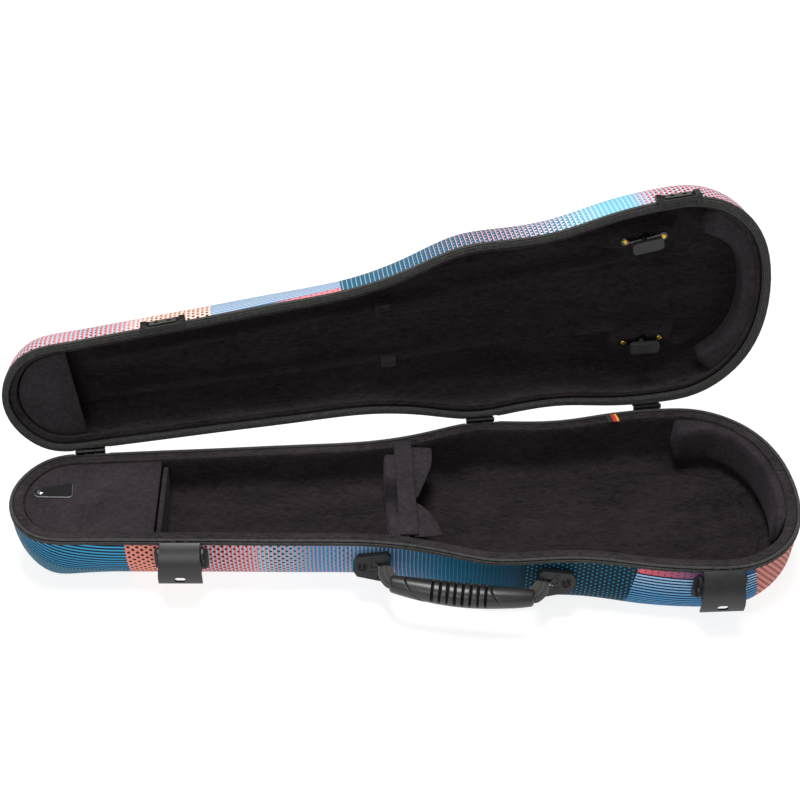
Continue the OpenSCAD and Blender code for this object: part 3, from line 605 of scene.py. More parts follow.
def lid_print(g, u, v):
    coral, mist = colour(240, 124, 124), colour(160, 196, 212)
    peach, cream = colour(244, 184, 164), colour(244, 214, 204)
    slate, sky = colour(44, 92, 116), colour(108, 176, 204)
    rose = colour(226, 156, 156)
    ground = [
        (0, coral), (170, coral), (192, colour(244, 196, 194)), (205, peach), (388, peach),
        (389, slate), (483, colour(36, 88, 112)), (560, colour(30, 92, 116)),
        (612, colour(36, 110, 140)), (650, sky), (690, sky), (712, coral), (915, coral),
    ]
    lines = [
        (0, mist), (170, mist), (192, cream), (388, cream), (389, colour(140, 162, 176)),
        (470, colour(150, 160, 172)), (540, rose), (600, colour(214, 176, 178)),
        (640, colour(176, 206, 216)), (665, colour(150, 196, 208)), (700, mist), (915, mist),
    ]
    sizes = scalar_stops(
        [
            (0, 0.5, 1.2), (80, 0.5, 1.3), (110, 0.5, 0.7), (140, 0.5, 1.3), (175, 0.5, 0.8),
            (200, 0.5, 1.5), (388, 0.5, 1.5), (389, 0.2, 0), (500, 0.2, 0.55),
            (560, 0.22, 0.95), (600, 0.22, 1.25), (650, 0.4, 0.95), (665, 0.4, 0.3),
            (700, 0.45, 0.8), (716, 0.5, 1.4), (915, 0.5, 1.3),
        ]
    )
    ink = [
        (0, BLACK_INK), (388, BLACK_INK), (389, rose), (560, colour(220, 170, 172)),
        (620, colour(226, 226, 228)), (655, colour(176, 150, 160)), (700, BLACK_INK),
    ]
    out = column_print(g, u, v, ground, lines, sizes, ink, pitch=4.6, row=5.6)
    rise = g.math("MAXIMUM", g.times(g.add(u, -268), 1 / 121), 0)
    wedge = g.add(g.times(g.math("POWER", rise, 1.2), 6.5), 3.6)
    below = g.add(v, g.times(wedge, -1))
    pale = colour(176, 192, 212)
    stripes = g.blend(
        g.math("LESS_THAN", g.part(below, 3.1), 0.42), pale, colour(84, 116, 146)
    )
    fade = g.ramp(
        g.times(g.add(u, -268), 1 / 121),
        [
            (0, colour(24, 84, 108)), (0.4, colour(52, 114, 138)),
            (0.62, colour(232, 130, 136)), (1, colour(240, 136, 140)),
        ],
    )
    fade = g.blend(dots(g, u, v, 5.4, 4.2, 0.9), fade, colour(96, 60, 76))
    body = g.blend(g.math("LESS_THAN", below, 0), stripes, fade)
    inside = g.times(g.math("GREATER_THAN", u, 259), g.math("LESS_THAN", u, 389))
    return g.blend(inside, out, body)


def plush_material(name, dark, light, streak=(1, 1, 1), seam=None):
    """Short-pile plush: blotches where the pile lies over, fibres, and an optional row of
    stitches at a distance v from the piece's top ring. With the stitches comes a painted shade
    that darkens the plush further down from the top ring, into the cavity."""
    g = Graph(name, roughness=0.95, sheen=0.1, specular=0.05)
    g.set_input("Sheen Roughness", 0.5)
    g.set_input("Sheen Tint", colour(150, 138, 148))
    blotch = g.noise(g.object_place(streak), 26, 4.0, 0.6)
    tuft = g.noise(g.object_place(streak), 240, 4.0, 0.7)
    fibre = g.noise(g.object_place(), 1300, 2.0)
    pile = g.add(g.add(g.times(blotch, 0.28), g.times(tuft, 0.44)), g.times(fibre, 0.28))
    shaded = g.ramp(pile, [(0.35, dark), (0.65, light)])
    height = g.add(g.times(fibre, 0.5), g.times(tuft, 1.0))
    if seam is not None:
        u, v = g.print_place()
        line = g.math("LESS_THAN", g.math("ABSOLUTE", g.add(v, -seam)), 0.5)
        stitch = g.times(line, g.math("LESS_THAN", g.part(u, 3.4), 0.6))
        shaded = g.blend(g.times(line, 0.55), shaded, colour(12, 10, 11))
        shaded = g.blend(g.times(stitch, 0.5), shaded, colour(70, 62, 66))
        height = g.add(height, g.times(line, -0.6))
        # Painted shade: the plush darkens further from the top ring, deeper into the cavity.
        painted_depth_shade = g.ramp(g.times(v, 0.02), [(0.2, (1, 1, 1, 1)), (0.42, (0.6, 0.57, 0.57, 1))])
        shaded = g.blend(1.0, shaded, painted_depth_shade, "MULTIPLY")
    g.set_input("Base Color", shaded)
    g.bump(height, 0.5, 0.6)
    return g.material


def woven_material(name, dark, light, creases=(), thread=0.85, roughness=0.8):
    """Ribbed twill binding. creases holds (from, to) along v where it turns in, in shade."""
    g = Graph(name, roughness=roughness, sheen=0.06, specular=0.15)
    u, v = g.print_place()
    lean = g.add(u, g.times(v, 0.6))
    over = g.math("SINE", g.times(lean, 2 * math.pi / thread))
    under = g.math("SINE", g.times(v, 2 * math.pi / (thread * 1.2)))
    cell = g.add(g.times(g.times(over, under), 0.5), 0.5)
    dust = g.noise(g.object_place(), 240, 4.0)
    shade = g.add(g.times(cell, 0.5), g.times(dust, 0.6))
    tone = g.ramp(shade, [(0.2, dark), (0.85, light)])
    shadow = 0.0
    for low, high in creases:
        shadow = g.math("MAXIMUM", shadow, g.between(v, low, high))
    if creases:
        tone = g.blend(g.times(shadow, 0.86), tone, colour(6, 6, 6))
    g.set_input("Base Color", tone)
    g.bump(cell, 0.16, 0.7)
    return g.material


def braid_material(name):
    """Flat braided webbing: diamonds of two diagonal strands, with painted shade in the gaps between strands and a
    painted highlight on their crowns.
    """
    g = Graph(name, roughness=0.7, sheen=0.2, specular=0.3)
    u, v = g.print_place()
    pitch = 2.5
    one, two = g.add(u, v), g.add(u, g.times(v, -1))
    a = g.math("ABSOLUTE", g.add(g.part(one, pitch), -0.5))
    b = g.math("ABSOLUTE", g.add(g.part(two, pitch), -0.5))
    parity = g.math(
        "FRACT",
        g.times(
            g.add(
                g.math("FLOOR", g.times(one, 1 / pitch)), g.math("FLOOR", g.times(two, 1 / pitch))
            ),
            0.5,
        ),
    )
    strand = g.math("SUBTRACT", 0.5, g.math("MAXIMUM", a, b))
    # The grey-black yarn is painted near black at each strand's edges, as shade in the gaps, and light at its
    # crown, as a highlight; alternate diamonds are lighter.
    tone = g.add(g.times(strand, 1.5), g.times(parity, 0.35))
    gap_shade_and_crown_light = [
        (0.05, colour(10, 10, 10)), (0.5, colour(58, 57, 55)), (1, colour(104, 102, 98)),
    ]
    g.set_input("Base Color", g.ramp(tone, gap_shade_and_crown_light))
    g.bump(strand, 0.5, 0.9)
    return g.material


def moulded_material(name, tone, roughness, grain=0.06, coat=0.0, specular=0.35):
    """Moulded plastic or rubber with a fine spark-eroded grain and handled, shinier spots."""
    g = Graph(name, roughness=roughness, coat=coat, specular=specular)
    speck = g.noise(g.object_place(), 2200, 2.0)
    worn = g.noise(g.object_place(), 60, 3.0)
    lighter = tuple(c * 1.25 for c in tone[:3]) + (1.0,)
    darker = tuple(c * 0.85 for c in tone[:3]) + (1.0,)
    g.set_input("Base Color", g.ramp(worn, [(0.3, darker), (0.7, lighter)]))
    g.set_input("Roughness", g.add(g.times(worn, 0.14), roughness - 0.07))
    g.bump(speck, grain, 0.5)
    return g.material


def metal_material(name, tone, roughness, scratch=900):
    g = Graph(name, roughness=roughness, metallic=1.0)
    brushed = g.noise(g.object_place((1, 8, 8)), scratch, 2.0)
    shade = tuple(c * 0.6 for c in tone[:3]) + (1.0,)
    g.set_input("Base Color", g.blend(g.times(brushed, 0.35), tone, shade))
    g.set_input("Roughness", g.add(g.times(brushed, 0.2), roughness - 0.1))
    g.bump(brushed, 0.02, 0.3)
    return g.material


def leather_material(name, tone):
    g = Graph(name, roughness=0.42, specular=0.45)
    cells = g.tree.nodes.new("ShaderNodeTexVoronoi")
    cells.inputs["Scale"].default_value = 1400
    g.feed(cells.inputs["Vector"], g.object_place())
    soft = g.noise(g.object_place(), 90, 3.0)
    red, green, blue, _ = tone
    g.set_input("Base Color", g.ramp(soft, [(0.3, tone), (0.7, (red * 1.5, green * 1.5, blue * 1.5, 1))]))
    g.bump(cells.outputs["Distance"], 0.12, 0.5)
    return g.material


def tag_material(name):
    """Three woven stripes across the tag."""
    g = Graph(name, roughness=0.7, sheen=0.2)
    u, v = g.print_place()
    stripes = g.ramp(
        g.times(u, 1 / 13),
        [(0, colour(24, 22, 24)), (0.34, colour(196, 34, 34)), (0.67, colour(236, 170, 40))],
        "CONSTANT",
    )
    threads = g.times(g.math("SINE", g.times(u, 9)), g.math("SINE", g.times(v, 9)))
    g.set_input("Base Color", stripes)
    g.bump(threads, 0.08, 0.6)
    return g.material


PLUSH_DARK, PLUSH_LIGHT = colour(19, 17, 18), colour(62, 56, 59)
PAD_DARK, PAD_LIGHT = colour(29, 26, 28), colour(58, 52, 56)
WEAVE_DARK, WEAVE_LIGHT = colour(20, 20, 20), colour(78, 78, 76)
MATERIALS = {
    "cover_base": print_material("cover_base", base_print),
    "cover_lid": print_material("cover_lid", lid_print),
    "plush": plush_material("plush", PLUSH_DARK, PLUSH_LIGHT, (0.45, 1.4, 1.4)),
    "plush_lip": plush_material("plush_lip", PLUSH_DARK, PLUSH_LIGHT, (0.5, 1.3, 1.3), seam=8.6),
    "plush_pad": plush_material("plush_pad", PAD_DARK, PAD_LIGHT),
    "webbing": braid_material("webbing"),
    "tag_weave": tag_material("tag_weave"),
    "black_plastic": moulded_material("black_plastic", colour(17, 17, 18), 0.4),
    "strike_plate": moulded_material("strike_plate", colour(66, 63, 59), 0.5),
    "strike_lug": moulded_material("strike_lug", colour(44, 44, 43), 0.45),
    "lever_plastic": moulded_material("lever_plastic", colour(27, 27, 27), 0.4, 0.03, 0, 0.5),
    "gloss_black": moulded_material("gloss_black", colour(8, 8, 10), 0.12, 0.0, coat=0.6),
    "grey_plastic": moulded_material("grey_plastic", colour(44, 44, 45), 0.4),
    "grip_rubber": moulded_material("grip_rubber", colour(32, 31, 31), 0.36, 0.04, 0, 0.5),
    # Near-black painted shade for slots, seams and the covers' inner walls, standing for the shadow in them.
    "painted_groove_shade": moulded_material("painted_groove_shade", colour(6, 6, 6), 0.7, 0.04, 0, 0.1),
    "steel": metal_material("steel", colour(150, 152, 156), 0.32),
    "black_metal": metal_material("black_metal", colour(44, 44, 46), 0.45),
    "brass_screw": metal_material("brass_screw", colour(232, 184, 84), 0.3),
    "chrome_stud": metal_material("chrome_stud", colour(228, 230, 234), 0.14),
    "tab_leather": leather_material("tab_leather", colour(14, 14, 16)),
    "tab_edge": moulded_material("tab_edge", colour(150, 156, 164), 0.5),
}

# ---- Sections of the shells, as in the CAD source
SKIN_INSET = 0.9
SHELL_TOP = -2.4
DRAFT = 0.06
ROUNDNESS = 1.85
WALL = 3.0
RIM_HEIGHT = 6.5
BASE_DEPTH = RIM_Z
LID_DEPTH = 56.0
BASE_WALL, LID_WALL = (14, 34), (8, 22)
BASE_CORNER, LID_CORNER = (34, 48, 30), (34, 36, 28)
BASE_FLOORS, LID_FLOORS = (46, 60), (38, 42)
LINING_GAP = 0.8
LIP_INSET = 14.0
LEAN = 1.5
FOOT = 14.0
BASE_RIM_WIDTH = np.full(COUNT, 4.2)
LID_RIM_WIDTH = 6.4 + 2.4 * smooth(560, 720, STATION)
BASE_LIP_TOP, LID_LIP_TOP = -1.0, -7.4


def corner_ring(depth, walls, corner, t, degrees):
    foot = mix(walls[0], walls[1], smooth(330, 470, STATION))
    width = np.where(
        STATION < 110,
        mix(corner[0], corner[1], smooth(0, 110, STATION)),
        mix(corner[1], corner[2], smooth(430, 620, STATION)),
    )
    turn = math.radians(degrees)
    across = 1 - max(math.cos(turn), 0) ** (2 / ROUNDNESS)
    down = max(math.sin(turn), 0) ** (2 / ROUNDNESS)
    inset = SKIN_INSET + t + DRAFT * (foot - RIM_HEIGHT) + (width - t) * across
    return ring(inset, -foot - (depth - t - foot) * down)


HINGE_STATIONS = [72, 479, 662]
LEAF_LENGTH = 30.0
NOTCH_LOW = -2.8


def clear_knuckles(points, lowest=NOTCH_LOW):
    """Lowers a rim where the hinge knuckles lie in it."""
    out = points.copy()
    along = np.array([math.cos(HINGE_TURN), math.sin(HINGE_TURN)])
    outwards = np.array([-math.sin(HINGE_TURN), math.cos(HINGE_TURN)])
    for s in HINGE_STATIONS:
        reach = (s - HALF_LENGTH - PIVOT.x) / along[0]
        local = out[:, :2] - np.array([PIVOT.x, PIVOT.y]) - along * reach
        close = (
            (np.abs(local @ along) < LEAF_LENGTH / 2 + 1.5)
            & (local @ outwards > -4.0)
            & (out[:, 2] > lowest)
        )
        out[close, 2] = lowest
    return out


def build_cover(name, node, depth, walls, corner, material, place):
    outside = [corner_ring(depth, walls, corner, 0, a) for a in range(90, -1, -6)]
    wall_rows = [mix(outside[-1], ring(SKIN_INSET, SHELL_TOP), t) for t in (0.35, 0.7, 1.0)]
    inside = [corner_ring(depth, walls, corner, WALL, a) for a in range(0, 91, 15)]
    rings = outside + wall_rows + [ring(SKIN_INSET + WALL, SHELL_TOP)] + inside
    top = len(outside) + len(wall_rows) - 1
    rows = 16
    points, faces, uv = cup(rings, top, rows)
    points = clear_knuckles(points, NOTCH_LOW - 0.2)
    piece = make(name, points, faces, material, BODIES[node], place, uv)
    # The inner wall and inner cap take the near-black painted shade, so the gaps round the lining read as shadow.
    piece.data.materials.append(MATERIALS["painted_groove_shade"])
    within = (top + 1) * COUNT
    outer_cap = len(rings) * COUNT
    inner_cap = outer_cap + (LAST - 1) * (rows - 1)
    for face in piece.data.polygons:
        if all(within <= v < outer_cap or v >= inner_cap for v in face.vertices):
            face.material_index = 1
    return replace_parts(piece, node)


build_cover(
    "cover_base", "base_shell", BASE_DEPTH, BASE_WALL, BASE_CORNER, MATERIALS["cover_base"], ON_BASE
)
build_cover(
    "cover_lid", "lid_shell", LID_DEPTH, LID_WALL, LID_CORNER, MATERIALS["cover_lid"], ON_LID
)

# ---- Bindings: two ribs round the outside, a groove, and a bead or ridges over the face
# Each row of a binding's section: inset, z, and 1 where it lies in a crease.
HEM = [
    (0.9, -6.5, 1), (0.9, -5.75, 1), (0.3, -5.55, 0), (0.0, -5.0, 0), (0.05, -4.3, 0),
    (0.35, -4.05, 1), (0.35, -3.9, 1), (0.05, -3.65, 0), (0.0, -3.0, 0), (0.3, -2.35, 0),
    (0.9, -2.15, 1), (1.3, -1.6, 1), (1.1, -1.0, 1),
]
BEAD = [
    (0.7, -0.75, 0), (0.85, -0.3, 0), (1.5, 0.1, 0), (2.4, 0.2, 0), (3.2, 0.05, 0),
    (3.75, -0.4, 0), (3.95, -0.9, 1), (4.2, -1.1, 1), (4.2, -2.2, 1),
]


def lid_face(width):
    """Four woven ridges over the lid binding's face and two down its inner wall."""
    section = []
    ridges = 4
    for i in range(ridges):
        for share, z, crease in (
            (0.0, -0.5, 1), (0.1, -0.45, 1), (0.2, 0.0, 0), (0.5, 0.2, 0), (0.85, 0.0, 0),
        ):
            section.append((0.8 + (i + share) / ridges * (width - 1.0), z, crease))
    section += [(width - 0.1, -0.4, 1), (width, -0.7, 1)]
    for top in (-0.9, -3.4):
        section += [
            (width + 0.15, top, 0), (width + 0.3, top - 1.0, 0), (width + 0.15, top - 2.0, 0),
            (width - 0.2, top - 2.3, 1), (width - 0.2, top - 2.45, 1),
        ]
    section += [(width - 0.3, -6.3, 1), (width - 0.3, -7.1, 1), (5.0, -7.1, 1), (4.2, -2.2, 1)]
    return section


def creases_of(section, across):
    """Where the section's creases lie along v."""
    runs = []
    for (_, _, crease), v in zip(section, across):
        if crease and runs and runs[-1][2]:
            runs[-1][1] = v
        elif crease:
            runs.append([v, v, True])
        elif runs:
            runs[-1][2] = False
    return [(low - 0.1, high + 0.1) for low, high, _ in runs]


def build_binding(name, node, section, place):
    section = section + [(0.7, SHELL_TOP + 0.2, 1)]
    points, faces, uv = band([row[:2] for row in section])
    across = uv[:: COUNT, 1]
    woven = woven_material(name, WEAVE_DARK, WEAVE_LIGHT, creases_of(section, across))
    piece = make(
        name, clear_knuckles(points), faces, woven, BODIES[node], place, uv, 60
    )
    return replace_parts(piece, node)


build_binding("binding_base", "base_rim", HEM + BEAD, ON_BASE)
build_binding("binding_lid", "lid_rim", HEM + lid_face(LID_RIM_WIDTH), ON_LID)


# ---- Linings: a sewn, padded lip round a soft, round-footed cavity
def lining_rings(depth, walls, corner, floors, width, lip_top):
    t = WALL + LINING_GAP
    floor_z = -mix(floors[0], floors[1], smooth(395, 450, STATION))
    foot = LIP_INSET + LEAN
    rings = [corner_ring(depth, walls, corner, t, a) for a in (90, 60, 30, 0)]
    start = width + 0.3
    for inset, z in (
        (start, lip_top - 0.7),
        (start + 0.25, lip_top - 0.2),
        (start + 0.8, lip_top + 0.15),
        (mix(start, LIP_INSET, 0.4), lip_top + 0.4),
        (LIP_INSET - 2.9, lip_top + 0.25),
        (LIP_INSET - 2.5, lip_top - 0.15),
        (LIP_INSET - 2.1, lip_top + 0.2),
        (LIP_INSET - 1.0, lip_top + 0.15),
        (LIP_INSET - 0.25, lip_top - 0.4),
        (LIP_INSET + 0.1, lip_top - 1.5),
        (LIP_INSET + 0.2, lip_top - 5),
    ):
        rings.append(ring(inset, z))
    for share in (0.35, 0.7):
        rings.append(
            ring(mix(LIP_INSET + 0.2, foot, share), mix(lip_top - 5, floor_z + FOOT, share))
        )
    for degrees in range(0, 91, 15):
        turn = math.radians(degrees)
        rings.append(
            ring(foot + FOOT * (1 - math.cos(turn)), floor_z + FOOT * (1 - math.sin(turn)))
        )
    return rings


def hill(distance, half, soft):
    """1 within half of the middle, then a smooth fall over soft."""
    return 1 - smooth(half, half + soft, abs(distance))


def base_floor(x, y, edge):
    """Soft folds in the cavity floor: two ridges that follow its wall, and wrinkles."""
    s = x + HALF_LENGTH
    body = smooth(425, 480, s)
    ridge = (4.6 * hill(edge - 19, 1.0, 6) + 3.0 * hill(edge - 34, 0.8, 6)) * body
    waves = 0.6 * math.sin(s / 17 + y / 9) * math.sin(y / 23 + s / 41)
    return float((ridge + waves) * smooth(0, 10, edge))


RIDGES = [(91, -23, 640, -47), (91, 18, 640, 39)]
HOLDERS = [(660, -72), (660, 54)]
HOLDER_DEPTH = -24.0
RIDGE_HEIGHT = 14.0
# Creases where the plush is drawn towards the body end: two ends and a height.
FOLDS = [
    (540, -40, 742, -20, 5.5), (540, -70, 660, -66, 4.5), (566, 50, 735, 40, 5.5),
    (566, 88, 728, 74, 5.0), (590, 8, 742, 10, 3.0), (140, 44, 520, 62, 3.0),
    (110, -42, 540, -70, 4.0), (600, -92, 720, -80, 3.5), (600, 22, 700, 30, 2.5),
]


def lid_floor(x, y, edge):
    """Long ridges part the bow channels, and firm mounds carry the bow holders."""
    s = x + HALF_LENGTH
    floor = -mix(LID_FLOORS[0], LID_FLOORS[1], float(smooth(395, 450, s)))
    height = 0.0
    for s0, y0, s1, y1 in RIDGES:
        t = (s - s0) / (s1 - s0)
        middle = mix(y0, y1, min(max(t, 0), 1))
        ends = float(smooth(s0 - 8, s0 + 14, s) * (1 - smooth(s1 - 10, s1 + 16, s)))
        height = max(height, RIDGE_HEIGHT * ends * float(hill(y - middle, 1.2, 9)))
    for s0, y0, s1, y1, rise in FOLDS:
        t = (s - s0) / (s1 - s0)
        middle = mix(y0, y1, min(max(t, 0), 1))
        ends = float(smooth(s0 - 30, s0 + 20, s) * (1 - smooth(s1 - 20, s1 + 6, s)))
        height = max(height, rise * ends * float(hill(y - middle, 0.4, 6)))
    for hs, hy in HOLDERS:
        shape = float(hill(s - hs, 30, 12) * hill(y - hy, 7.2, 8))
        height = max(height, (HOLDER_DEPTH - 0.3 - floor) * shape)
    waves = 0.45 * math.sin(s / 21 + y / 8) * math.sin(y / 19 - s / 37)
    return float((height + waves) * smooth(0, 12, edge))


def build_lining(name, nodes, settings, height, place):
    rings = lining_rings(*settings)
    points, faces, uv = cup(rings, 4, 44, (None, height))
    piece = make(
        name, points, faces, MATERIALS["plush_lip"], BODIES[nodes[0]], place, uv, 70
    )
    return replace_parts(piece, *nodes)


build_lining(
    "lining_base",
    ["base_lining"],
    (BASE_DEPTH, BASE_WALL, BASE_CORNER, BASE_FLOORS, BASE_RIM_WIDTH, BASE_LIP_TOP),
    base_floor,
    ON_BASE,
)
build_lining(
    "lining_lid",
    ["lid_lining", "bow_ridges", "bow_holder_blocks"],
    (LID_DEPTH, LID_WALL, LID_CORNER, LID_FLOORS, LID_RIM_WIDTH, LID_LIP_TOP),
    lid_floor,
    ON_LID,
)


# ---- Padded borders at the body end
def end_pad(name, node, inset, widths, top, bottom, starts, place, crisp):
    """A padded band along the cavity's wall, wide at its ends and narrow at its middle."""
    start = starts[0]
    chosen = [k for k in range(COUNT) if STATION[k] > starts[0 if k <= LAST else 1]]
    corners = 28
    sections = []
    for i, k in enumerate(chosen):
        t = i / (len(chosen) - 1)
        taper = math.sqrt(max(1 - abs(2 * t - 1) ** 40, 0.01))
        thick = mix(widths[0], widths[1], float(smooth(start + 8, start + 80, STATION[k])))
        half_in, half_down = thick / 2 * taper, (top - bottom) / 2 * taper
        points = []
        for c in range(corners):
            turn = 2 * math.pi * c / corners
            power = 2 / crisp
            side = math.copysign(abs(math.cos(turn)) ** power, math.cos(turn))
            rise = math.copysign(abs(math.sin(turn)) ** power, math.sin(turn))
            flat = RING[k] + INWARD[k] * (inset + thick / 2 + half_in * side)
            points.append((flat[0], flat[1], (top + bottom) / 2 + half_down * rise))
        sections.append(np.array(points))
    points, faces, uv = loft(sections)
    piece = make(name, points, faces, MATERIALS["plush_pad"], BODIES[node], place, uv, 75)
    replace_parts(piece, node)
    return piece


end_pad("base_end_border", "base_end_pad", LIP_INSET - 1.2, (26, 12), -2.6, -45, (680, 776), ON_BASE, 4.2)
end_pad("lid_end_border", "lid_end_pad", LIP_INSET - 1.2, (28, 11), -8.2, -29, (735, 728), ON_LID, 6)


# ---- Soft pieces swelled by a cloth simulation
def puff(piece, voxel, pressure, cap):
    """Remeshes a closed piece, swells it as a stuffed skin and caps how far it moves."""
    remesh = piece.modifiers.new("remesh", "REMESH")
    remesh.mode = "VOXEL"
    remesh.voxel_size = voxel * MM
    apply_modifiers(piece)
    before = np.zeros(len(piece.data.vertices) * 3)
    piece.data.vertices.foreach_get("co", before)
    cloth = piece.modifiers.new("cloth", "CLOTH")
    cloth.settings.use_pressure = True
    cloth.settings.uniform_pressure_force = pressure
    cloth.settings.effector_weights.gravity = 0
    cloth.settings.quality = 6
    cloth.settings.tension_stiffness = 20
    cloth.settings.compression_stiffness = 12
    cloth.settings.bending_stiffness = 0.4
    cloth.point_cache.frame_start = 1
    cloth.point_cache.frame_end = 20
    for step in range(1, 21):
        bpy.context.scene.frame_set(step)
    apply_modifiers(piece)
    after = np.zeros(len(piece.data.vertices) * 3)
    piece.data.vertices.foreach_get("co", after)
    moved = (after - before).reshape(-1, 3)
    size = np.linalg.norm(moved, axis=1)
    scale = np.minimum(1, cap * MM / np.maximum(size, 1e-9))
    piece.data.vertices.foreach_set(
        "co", (before.reshape(-1, 3) + moved * scale[:, None]).ravel()
    )
    bpy.context.scene.frame_set(1)
    relax = piece.modifiers.new("relax", "SMOOTH")
    relax.iterations = 4
    rounder = piece.modifiers.new("rounder", "SUBSURF")
    rounder.levels = rounder.render_levels = 1
    apply_modifiers(piece)
    piece.data.shade_smooth()
    return piece


def copy_node(name, node, material):
    mesh = NODES[node].data.copy()
    mesh.materials.clear()
    work = bmesh.new()
    work.from_mesh(mesh)
    bmesh.ops.remove_doubles(work, verts=work.verts, dist=0.004 * MM)
    work.to_mesh(mesh)
    work.free()
    piece = new_piece(name, mesh, material, BODIES[node])
    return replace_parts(piece, node)


cradle = puff(copy_node("cradle_pad", "neck_cradle", MATERIALS["plush_pad"]), 4.0, 2.5, 2.5)


def flap_parts(corners, thick):
    """A stuffed flap over a rounded outline of (station, y, z) corners."""
    outline = np.array([(s - HALF_LENGTH, y, z) for s, y, z in corners], float)
    for share in (0.09, 0.25, 0.25):
        after = np.roll(outline, -1, axis=0)
        near, far = mix(outline, after, share), mix(after, outline, share)
        outline = np.stack([near, far], axis=1).reshape(-1, 3)
    middle = outline.mean(axis=0)
    sections = []
    for degrees in range(-75, 76, 15):
        turn = math.radians(degrees)
        scale = 1 - 0.9 * (1 - math.cos(turn)) ** 1.5
        section = middle + (outline - middle) * scale
        section[:, 2] += thick / 2 * math.sin(turn)
        sections.append(section)
    return loft(sections)


def build_flaps():
    far = [(397, 71, -5), (425, 69, -4.5), (423, 45, -9), (406, 0, -14), (397, 4, -15)]
    near = [(397, -64, -8), (428, -63, -7), (417, -25, -11), (406, -7, -14), (397, -9, -15)]
    points, faces, uv = join_parts([flap_parts(far, 5), flap_parts(near, 5)])
    piece = make(
        "cradle_flaps", points, faces, MATERIALS["plush_pad"], "base", ON_BASE, uv, 80
    )
    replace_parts(piece, "cradle_wings")


build_flaps()


# ---- Covered boards and loops
def build_board(name, node, inset, end, top, thick):
    """A covered board with the outline of the case's end, cut straight at a station."""
    chosen = [k for k in range(-LAST, LAST + 1) if STATION[k] < end + 6]
    sections = []
    for further, z in (
        (0.8, -thick), (0.0, -thick + 0.8), (0.0, -1.1), (0.3, -0.4), (1.0, -0.05), (5.0, 0.15),
        (12.0, 0.25),
    ):
        curve = RING[chosen] + INWARD[chosen] * (inset + further)
        limit = end - further - HALF_LENGTH
        curve[:, 0] = np.minimum(curve[:, 0], limit)
        low, high = curve[0], curve[-1]
        edge = [high + (low - high) * t for t in np.linspace(0, 1, 14)[1:-1]]
        flat = np.concatenate([curve, [(limit, p[1]) for p in edge]])
        sections.append(np.column_stack([flat, np.full(len(flat), top + z)]))
    points, faces, uv = loft(sections)
    body = BODIES[node]
    place = ON_LID if body == "lid" else ON_BASE
    board = make(name, points, faces, MATERIALS["plush_pad"], body, place, uv, 60)
    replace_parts(board, node)


PANEL_LIFT = 2.4
TAB_LIFT = 3.0
build_board("compartment_panel", "compartment_lid", 15.0, 146, -5 + PANEL_LIFT, 4 + PANEL_LIFT)
build_board("tip_panel", "tip_pocket_panel", 16.2, 72.5, -9.6, 3.2)
wall = soften("compartment_wall", MATERIALS["plush"], 1.4, 4)
soften("bow_tip_loops", MATERIALS["plush"], 0.7, 3)


# ---- Neck strap: a stitched band from the far lip over the cradle
def build_neck_strap():
    low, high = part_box("neck_strap")
    left, right = low.x / MM, high.x / MM
    route = [(73.6, 0.9), (66, 1.0), (58, 0.75), (20, -0.55), (-20, -1.8), (-56, -3.0), (-62, -4.8)]
    ys = np.array([p[0] for p in route])[::-1]
    zs = np.array([p[1] for p in route])[::-1]
    stations = np.linspace(73.6, -62, 70)
    thick = 1.5
    across = 14
    sections = []
    for i, y in enumerate(stations):
        z = float(np.interp(y, ys, zs))
        sag = 0.35 * math.sin(i * 0.9) * math.sin(i * 0.23)
        seam = 0.5 * max(math.exp(-((y - 55) ** 2) / 2), math.exp(-((y + 50) ** 2) / 2))
        upper, lower = [], []
        for c in range(across + 1):
            t = c / across
            x = mix(left, right, t)
            piping = 0.55 * math.exp(-(((1 - t) * (right - left) - 1.2) ** 2) / 0.9)
            edge = 0.5 * (abs(2 * t - 1) ** 10)
            upper.append((x, y, z + sag - seam + piping - edge))
            lower.append((x, y, z + sag - thick))
        sections.append(np.array(upper + lower[::-1]))
    points, faces, uv = loft(sections)
    piece = make(
        "neck_strap_cloth", points, faces, MATERIALS["plush_pad"], "neck_strap", ON_BASE, uv, 60
    )
    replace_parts(piece, "neck_strap")


build_neck_strap()


# ---- Folded tag at the far rim
def build_tag():
    low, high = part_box("loop_tag")
    middle = (low + high) / 2 / MM
    width, length, thick = 11.0, 12.0, 0.55
    turn = math.radians(10)
    sections = []
    for i in range(15):
        t = i / 14
        y = -length / 2 + length * t
        crown = 0.35 * math.sin(math.pi * t)
        row = []
        for c in range(9):
            row.append((-width / 2 + width * c / 8, y, thick + crown))
        for c in range(9):
            row.append((width / 2 - width * c / 8, y, crown - thick * 0.6))
        sections.append(row)
    cos, sin = math.cos(turn), math.sin(turn)
    placed = [
        np.array([(x * cos - y * sin, x * sin + y * cos, z) for x, y, z in row]) for row in sections
    ]
    points, faces, _ = loft(placed)
    flat = np.concatenate([np.array(row)[:, :2] for row in sections] + [np.zeros((2, 2))])
    uv = flat + np.array([width / 2, length / 2])
    uv[-2:] = (width / 2, 0)
    place = Matrix.Translation(Vector((middle.x, middle.y, low.z / MM + 0.35)))
    piece = make("rim_tag", points, faces, MATERIALS["tag_weave"], "base", place, uv, 50)
    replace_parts(piece, "loop_tag")


build_tag()


# ---- Pull tab and stud
def build_tab():
    tab = soften("pull_tab", MATERIALS["tab_leather"], 0.35, 3)
    tab.data.materials.append(MATERIALS["tab_edge"])
    tab.data.transform(Matrix.Translation((0, 0, TAB_LIFT * MM)))
    for face in tab.data.polygons:
        if abs(face.normal.z) < 0.75 and (face.normal.x > 0.3 or face.normal.y < -0.3):
            face.material_index = 1
    profile = [(1.5, -1.7), (1.5, 0), (3.5, 0.05), (3.6, 0.4), (3.2, 0.9), (2.2, 1.35), (1.0, 1.5)]
    lathe("tab_stud", "pull_tab_stud", profile, "chrome_stud", TAB_LIFT)


